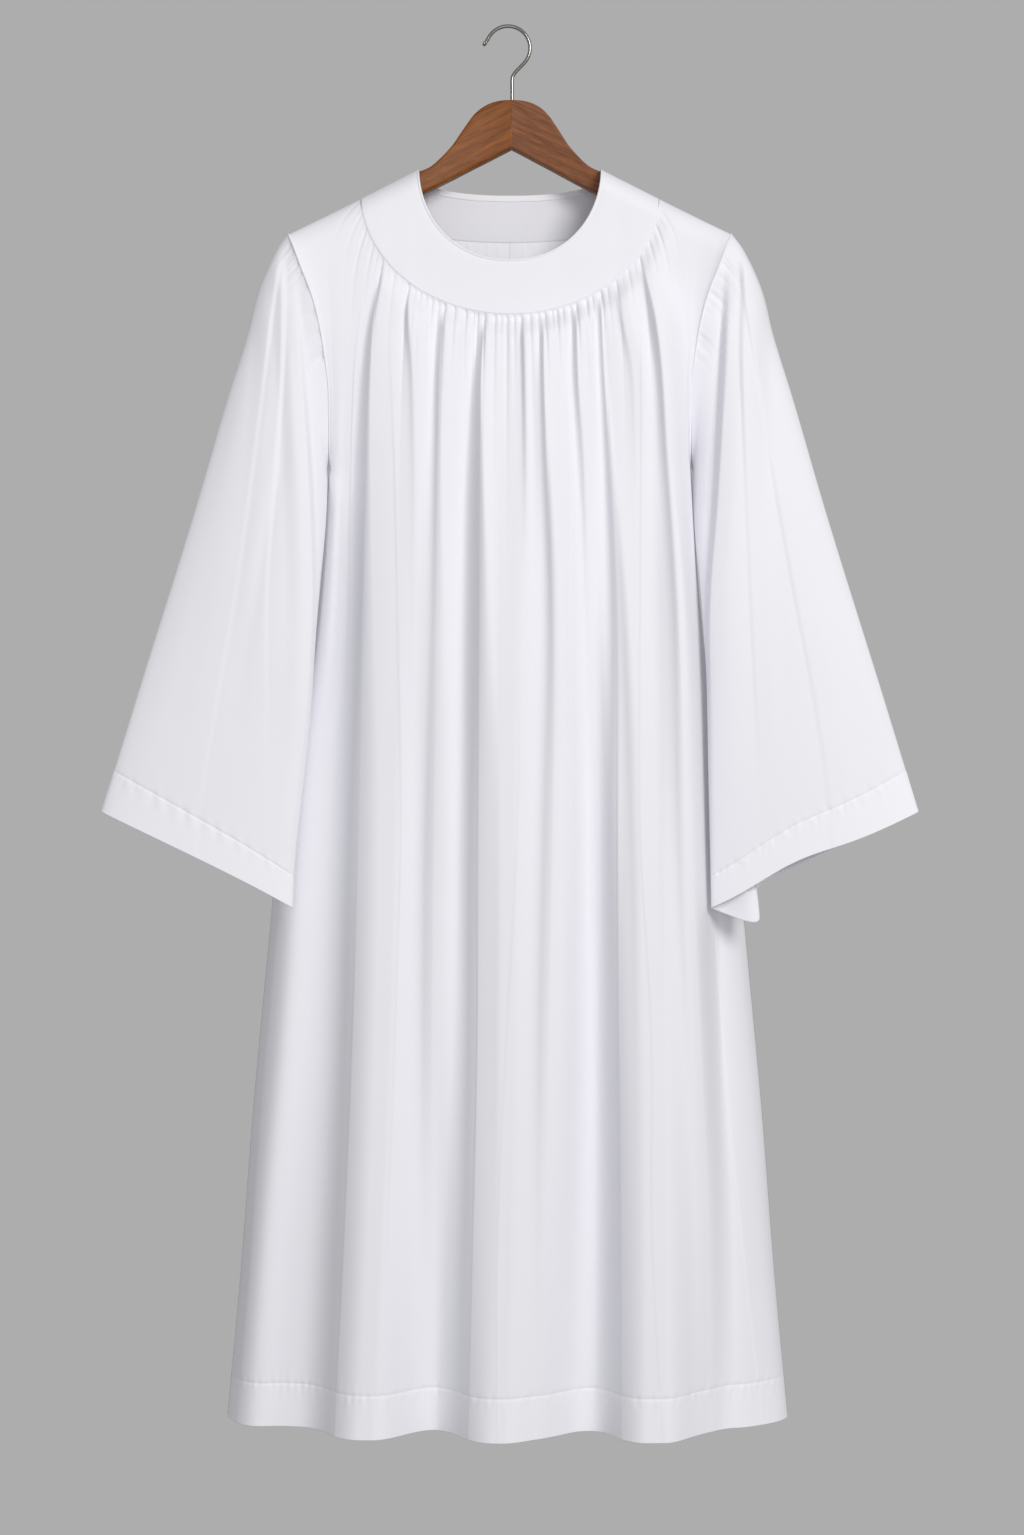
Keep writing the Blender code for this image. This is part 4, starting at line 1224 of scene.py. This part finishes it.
def hook_points():
    """The bent wire: a ball and a flick at the tip, the round bow, a slanting neck, the stem.

    Its radius grows as a quarter circle over the rounded tip.
    """
    angles = np.radians(np.linspace(HOOK_START_ANGLE, HOOK_END_ANGLE, BOW_POINTS))[1:]
    bow_x = HOOK_CENTRE_X + HOOK_RADIUS * np.cos(angles)
    bow_height = WIRE_RADIUS - HOOK_RADIUS + HOOK_RADIUS * np.sin(angles)
    stem_top = HANGER_SECTIONS[0][1]
    stem = [(STEM_X, stem_top + WIRE_RADIUS), (STEM_X, stem_top - STEM_DEPTH + SEAM_GAP)]
    plain = [*zip(bow_x, bow_height), *HOOK_NECK, *stem]
    wire = np.array([*HOOK_TIP, *((x, height, 1.0) for x, height in plain)])
    gaps = np.linalg.norm(np.diff(wire[:, :2], axis=0), axis=1)
    run = np.concatenate([[0.0], np.cumsum(gaps)])
    rest = np.linspace(TIP_LENGTH, run[-1], WIRE_ROWS)[1:]
    fine = np.concatenate([np.linspace(0, TIP_LENGTH, TIP_ROWS), rest])
    x, height, radius = [smooth_curve(fine, run, wire[:, k]) for k in (0, 1, 2)]
    path = np.stack([x, 0 * x, height], axis=1)
    start = np.sqrt(np.clip(1 - (1 - fine / TIP_ROUND) ** 2, 0.0, 1.0))
    radius = WIRE_RADIUS * radius * np.where(fine < TIP_ROUND, start, 1.0)
    radius[0] = radius[-1] = 0.0
    return tube_points(path, radius, WIRE_SIDES)


# Materials


def fill_inputs(tree, node, inputs):
    """Sets a node's inputs by name: to a value, a socket, or the first output of a node."""
    for name, value in inputs.items():
        if isinstance(value, bpy.types.Node):
            value = next(output for output in value.outputs if output.enabled)
        if isinstance(value, bpy.types.NodeSocket):
            tree.links.new(value, node.inputs[name])
        else:
            node.inputs[name].default_value = value


def add_node(tree, kind, inputs, **settings):
    """A shader node of a kind, with its settings and its inputs."""
    node = tree.nodes.new("ShaderNode" + kind)
    for name, value in settings.items():
        setattr(node, name, value)
    fill_inputs(tree, node, inputs)
    return node


def new_material(name):
    """A material, its node tree, its shader, and the place on the object or on its UV map."""
    material = bpy.data.materials.new(name)
    material.use_nodes = True
    tree = material.node_tree
    place = add_node(tree, "TexCoord", {})
    return material, tree, tree.nodes["Principled BSDF"], place.outputs


def white_polycotton():
    """Light plain-woven poly-cotton: matt, a faint satin sheen, cool white; painted shade greys it
    where single and painted light whitens it where doubled.
    """
    material, tree, shader, place = new_material("white polycotton")
    # Painted light and shade: the cloth is mixed from its single white to a whiter one by the
    # painted-light attribute, in place of light shining through thin cloth.
    layer_painted_light = add_node(tree, "Attribute", {}, attribute_name="layer_painted_light")
    tint = add_node(
        tree,
        "Mix",
        {"Factor": layer_painted_light.outputs["Fac"], "A": linear(SINGLE_CLOTH), "B": linear(LAYERED_CLOTH_PAINTED_LIGHT)},
        data_type="RGBA",
    )
    # Faint unevenness of the cloth's colour, about 60 mm across.
    cloud = add_node(tree, "TexNoise", {"Vector": place["Object"], "Scale": 16.0, "Detail": 2.0})
    shade = add_node(tree, "MapRange", {"Value": cloud, "To Min": 0.985, "To Max": 1.0})
    uneven = add_node(
        tree,
        "Mix",
        {"Factor": 1.0, "A": tint, "B": shade},
        data_type="RGBA",
        blend_type="MULTIPLY",
    )
    # The threads are drawn further apart than real ones, so that they can show.
    scale = 2 * pi / THREAD_SPACING / WAVE_BANDS
    threads = {"Vector": place["UV"], "Scale": scale, "Distortion": 0.6}
    across = add_node(tree, "TexWave", threads, bands_direction="X")
    down = add_node(tree, "TexWave", threads, bands_direction="Y")
    crossing = {0: across.outputs["Fac"], 1: down.outputs["Fac"]}
    weave = add_node(tree, "Math", crossing, operation="MULTIPLY")
    bump = add_node(tree, "Bump", {"Height": weave, "Strength": 0.06, "Distance": 0.0002})
    finish = {
        "Base Color": uneven,
        "Normal": bump,
        "Roughness": 0.72,
        "Specular IOR Level": 0.3,
        "Sheen Weight": 0.12,
        "Sheen Roughness": 0.4,
    }
    fill_inputs(tree, shader, finish)
    return material


def varnished_walnut(name, colours, slope):
    """Sawn hardwood under satin varnish: fine pores and bands run along the arm, at a slope."""
    material, tree, shader, place = new_material(name)
    pale, middle, dark = [linear(code) for code in colours]
    turned = add_node(tree, "Mapping", {"Vector": place["Object"], "Rotation": (0.0, slope, 0.0)})
    # The grain runs along the arm: its bands are about 5 mm wide and 80 mm long on the face.
    long = add_node(tree, "Mapping", {"Vector": turned, "Scale": (12.0, 90.0, 210.0)})
    streak = add_node(
        tree,
        "TexNoise",
        {"Vector": long, "Scale": 1.0, "Detail": 5.0, "Roughness": 0.62, "Distortion": 0.5},
    )
    # Pores about 1 mm wide and 17 mm long, coarser than real ones, so that they can show.
    fine = add_node(tree, "Mapping", {"Vector": turned, "Scale": (60.0, 400.0, 900.0)})
    noise = {"Vector": fine, "Scale": 1.0, "Detail": 3.0, "Roughness": 0.6}
    pore = add_node(tree, "TexNoise", noise)
    ramp = add_node(tree, "ValToRGB", {"Fac": streak})
    low, high = ramp.color_ramp.elements
    low.position, low.color = 0.30, dark
    high.position, high.color = 0.70, pale
    ramp.color_ramp.elements.new(0.5).color = middle
    shades = {"Value": pore, "From Min": 0.3, "From Max": 0.6, "To Min": 0.72, "To Max": 1.04}
    wood = add_node(
        tree,
        "Mix",
        {"Factor": 1.0, "A": ramp, "B": add_node(tree, "MapRange", shades)},
        data_type="RGBA",
        blend_type="MULTIPLY",
    )
    bump = add_node(tree, "Bump", {"Height": pore, "Strength": 0.15, "Distance": 0.0003})
    finish = {
        "Base Color": wood,
        "Normal": bump,
        "Roughness": 0.48,
        "Specular IOR Level": 0.18,
        "Coat Weight": 0.06,
        "Coat Roughness": 0.3,
    }
    fill_inputs(tree, shader, finish)
    return material


def polished_steel():
    """Drawn steel wire, nickel plated and polished: bright line along it, dark edges."""
    material, tree, shader, place = new_material("polished steel wire")
    # Drawing marks about 1 mm apart, coarser than real ones, make the gloss a little uneven.
    marks = add_node(tree, "TexNoise", {"Vector": place["Object"], "Scale": 900.0, "Detail": 2.0})
    rough = add_node(tree, "MapRange", {"Value": marks, "To Min": 0.18, "To Max": 0.2})
    finish = {"Roughness": rough, "Metallic": 1.0, "Base Color": linear(STEEL)}
    fill_inputs(tree, shader, finish)
    return material


def matt_floor():
    """A plain pale studio floor, with barely any unevenness."""
    material, tree, shader, place = new_material("pale studio floor")
    cloud = add_node(tree, "TexNoise", {"Vector": place["Object"], "Scale": 3.0})
    ramp = add_node(tree, "ValToRGB", {"Fac": cloud})
    low, high = ramp.color_ramp.elements
    low.color, high.color = linear(FLOOR_SHADE), linear(FLOOR_GREY)
    fill_inputs(tree, shader, {"Base Color": ramp, "Roughness": 0.9})
    return material


# Camera, light and floor

# The photograph is square on to the garment, with one picture point to the millimetre there.
CAMERA_DISTANCE = 2900.0
CAMERA_X = 2.0
CAMERA_HEIGHT = -739.5
CAMERA_REACH = 50.0
VIEW_HEIGHT = 1535.0
SENSOR = 36.0
FLOOR_HEIGHT = -1950.0
FLOOR_RADIUS = 1400.0
FLOOR_SIDES = 96
# The middle of the garment, in metres, at which both lights point.
LIGHT_AIM = (0.0, 0.0, -0.75)


def add_camera():
    """A camera square on to the front. Its lens is the sensor's width times its distance, over
    the height of the view."""
    data = bpy.data.cameras.new("camera")
    data.sensor_width = SENSOR
    data.lens = SENSOR * CAMERA_DISTANCE / VIEW_HEIGHT
    data.clip_end = CAMERA_REACH
    camera = bpy.data.objects.new("camera", data)
    camera.location = (CAMERA_X * MM, -CAMERA_DISTANCE * MM, CAMERA_HEIGHT * MM)
    camera.rotation_euler = (pi / 2, 0.0, 0.0)
    bpy.context.scene.collection.objects.link(camera)
    bpy.context.scene.camera = camera


def add_light(name, place, size, power, tint):
    """A square soft light at place, turned to the garment; metres and watts."""
    data = bpy.data.lights.new(name, "AREA")
    data.shape = "SQUARE"
    data.size = size
    data.energy = power
    data.color = linear(tint)[:3]
    light = bpy.data.objects.new(name, data)
    light.location = place
    towards = mathutils.Vector(LIGHT_AIM) - mathutils.Vector(place)
    light.rotation_euler = towards.to_track_quat("-Z", "Y").to_euler()
    bpy.context.scene.collection.objects.link(light)


def add_studio():
    """An even grey surround, a soft key from the upper right, a broad fill in front, a floor."""
    scene = bpy.context.scene
    scene.view_settings.view_transform = "Standard"
    world = bpy.data.worlds.new("studio")
    world.use_nodes = True
    world.node_tree.nodes["Background"].inputs["Color"].default_value = linear(WALL_GREY)
    scene.world = world
    add_light("key", (2.3, -5.0, 1.5), 2.1, 180.0, "#FFFDFA")
    add_light("fill", (0.2, -4.8, -0.5), 1.6, 24.0, "#F6F6FF")
    radius = FLOOR_RADIUS * np.array([0.0, 0.5, 1.0])[:, None]
    turn = np.linspace(0, 2 * pi, FLOOR_SIDES, endpoint=False)[None, :]
    x, y = radius * np.cos(turn), radius * np.sin(turn)
    floor = closed_piece("floor", np.stack([x, y, FLOOR_HEIGHT + 0 * x], axis=2), matt_floor())


# What each piece replaces, and how each cloth piece hangs

# The CAD node that each piece replaces. The armhole welts replace none.
NODES = {
    "front_skirt": "front_panel",
    "back_skirt_left": "back_panel_left",
    "back_skirt_right": "back_panel_right",
    "front_yoke": "yoke_front",
    "back_yoke_left": "yoke_back_left",
    "back_yoke_right": "yoke_back_right",
    "back_neck_tape": "neck_facing",
    "left_sleeve": "sleeve_left",
    "right_sleeve": "sleeve_right",
    "wood_arm_left": "hanger_arm_left",
    "wood_arm_right": "hanger_arm_right",
    "steel_hook": "hanger_hook",
}
ARMS = ["wood_arm_left", "wood_arm_right"]
SHEETS = {
    # how it is held, what it rests on, pieces that go with it
    "front_skirt": ("gathered", ARMS + ["front_yoke"], []),
    "back_skirt_left": ("gathered", ["wood_arm_left", "back_yoke_left"], []),
    "back_skirt_right": ("gathered", ["wood_arm_right", "back_yoke_right"], []),
    "left_sleeve": ("hung", ["front_skirt", "back_skirt_left"], ["armhole_welt_left"]),
    "right_sleeve": ("hung", ["front_skirt", "back_skirt_right"], ["armhole_welt_right"]),
    "front_yoke": ("hung", ARMS, []),
    "back_yoke_left": ("hung", ["wood_arm_left"], []),
    "back_yoke_right": ("hung", ["wood_arm_right"], ["back_neck_tape"]),
}


def declare_sheets():
    """Works out what each cloth piece was cut to, from the lengths and the area of the drawn cloth,
    and passes it to nothing.

    A yoke is doubled, so its cut is half of the way round it.
    """
    for name, (held, under, extras) in SHEETS.items():
        wide, long, area = CUTS[name]
        if "yoke" in name:
            wide, long, area = long, wide / 2, area / 2


def main():
    """Makes every piece, hangs each on the root body, hides the CAD parts it replaces, and sets up
    the studio.
    """
    cloth = white_polycotton()
    # The two arms are lit and shaded copies of one walnut: painted light on the left, painted shade
    # on the right.
    pale = varnished_walnut("varnished walnut, pale", WALNUT_PAINTED_LIT, GRAIN_SLOPE)
    dark = varnished_walnut("varnished walnut, dark", WALNUT_PAINTED_SHADE, -GRAIN_SLOPE)
    steel = polished_steel()
    made = make_skirts(cloth)
    made.update(make_yokes(cloth))
    made["back_neck_tape"] = make_facing(cloth)
    made.update(make_sleeves(cloth))
    for side, name in ((-1, "armhole_welt_left"), (1, "armhole_welt_right")):
        made[name] = armhole_welt(name, side, cloth)
    # Painted light on the left arm's wood, painted shade on the right arm's.
    for side, name, wood in ((-1, "wood_arm_left", pale), (1, "wood_arm_right", dark)):
        made[name] = closed_piece(name, hanger_arm_points(side), wood)
    made["steel_hook"] = closed_piece("steel_hook", hook_points(), steel)
    for name, piece in made.items():
        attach(piece, "root")
        if name in NODES:
            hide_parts(NODES[name])
    declare_sheets()
    add_studio()
    add_camera()
    return made


made = main()
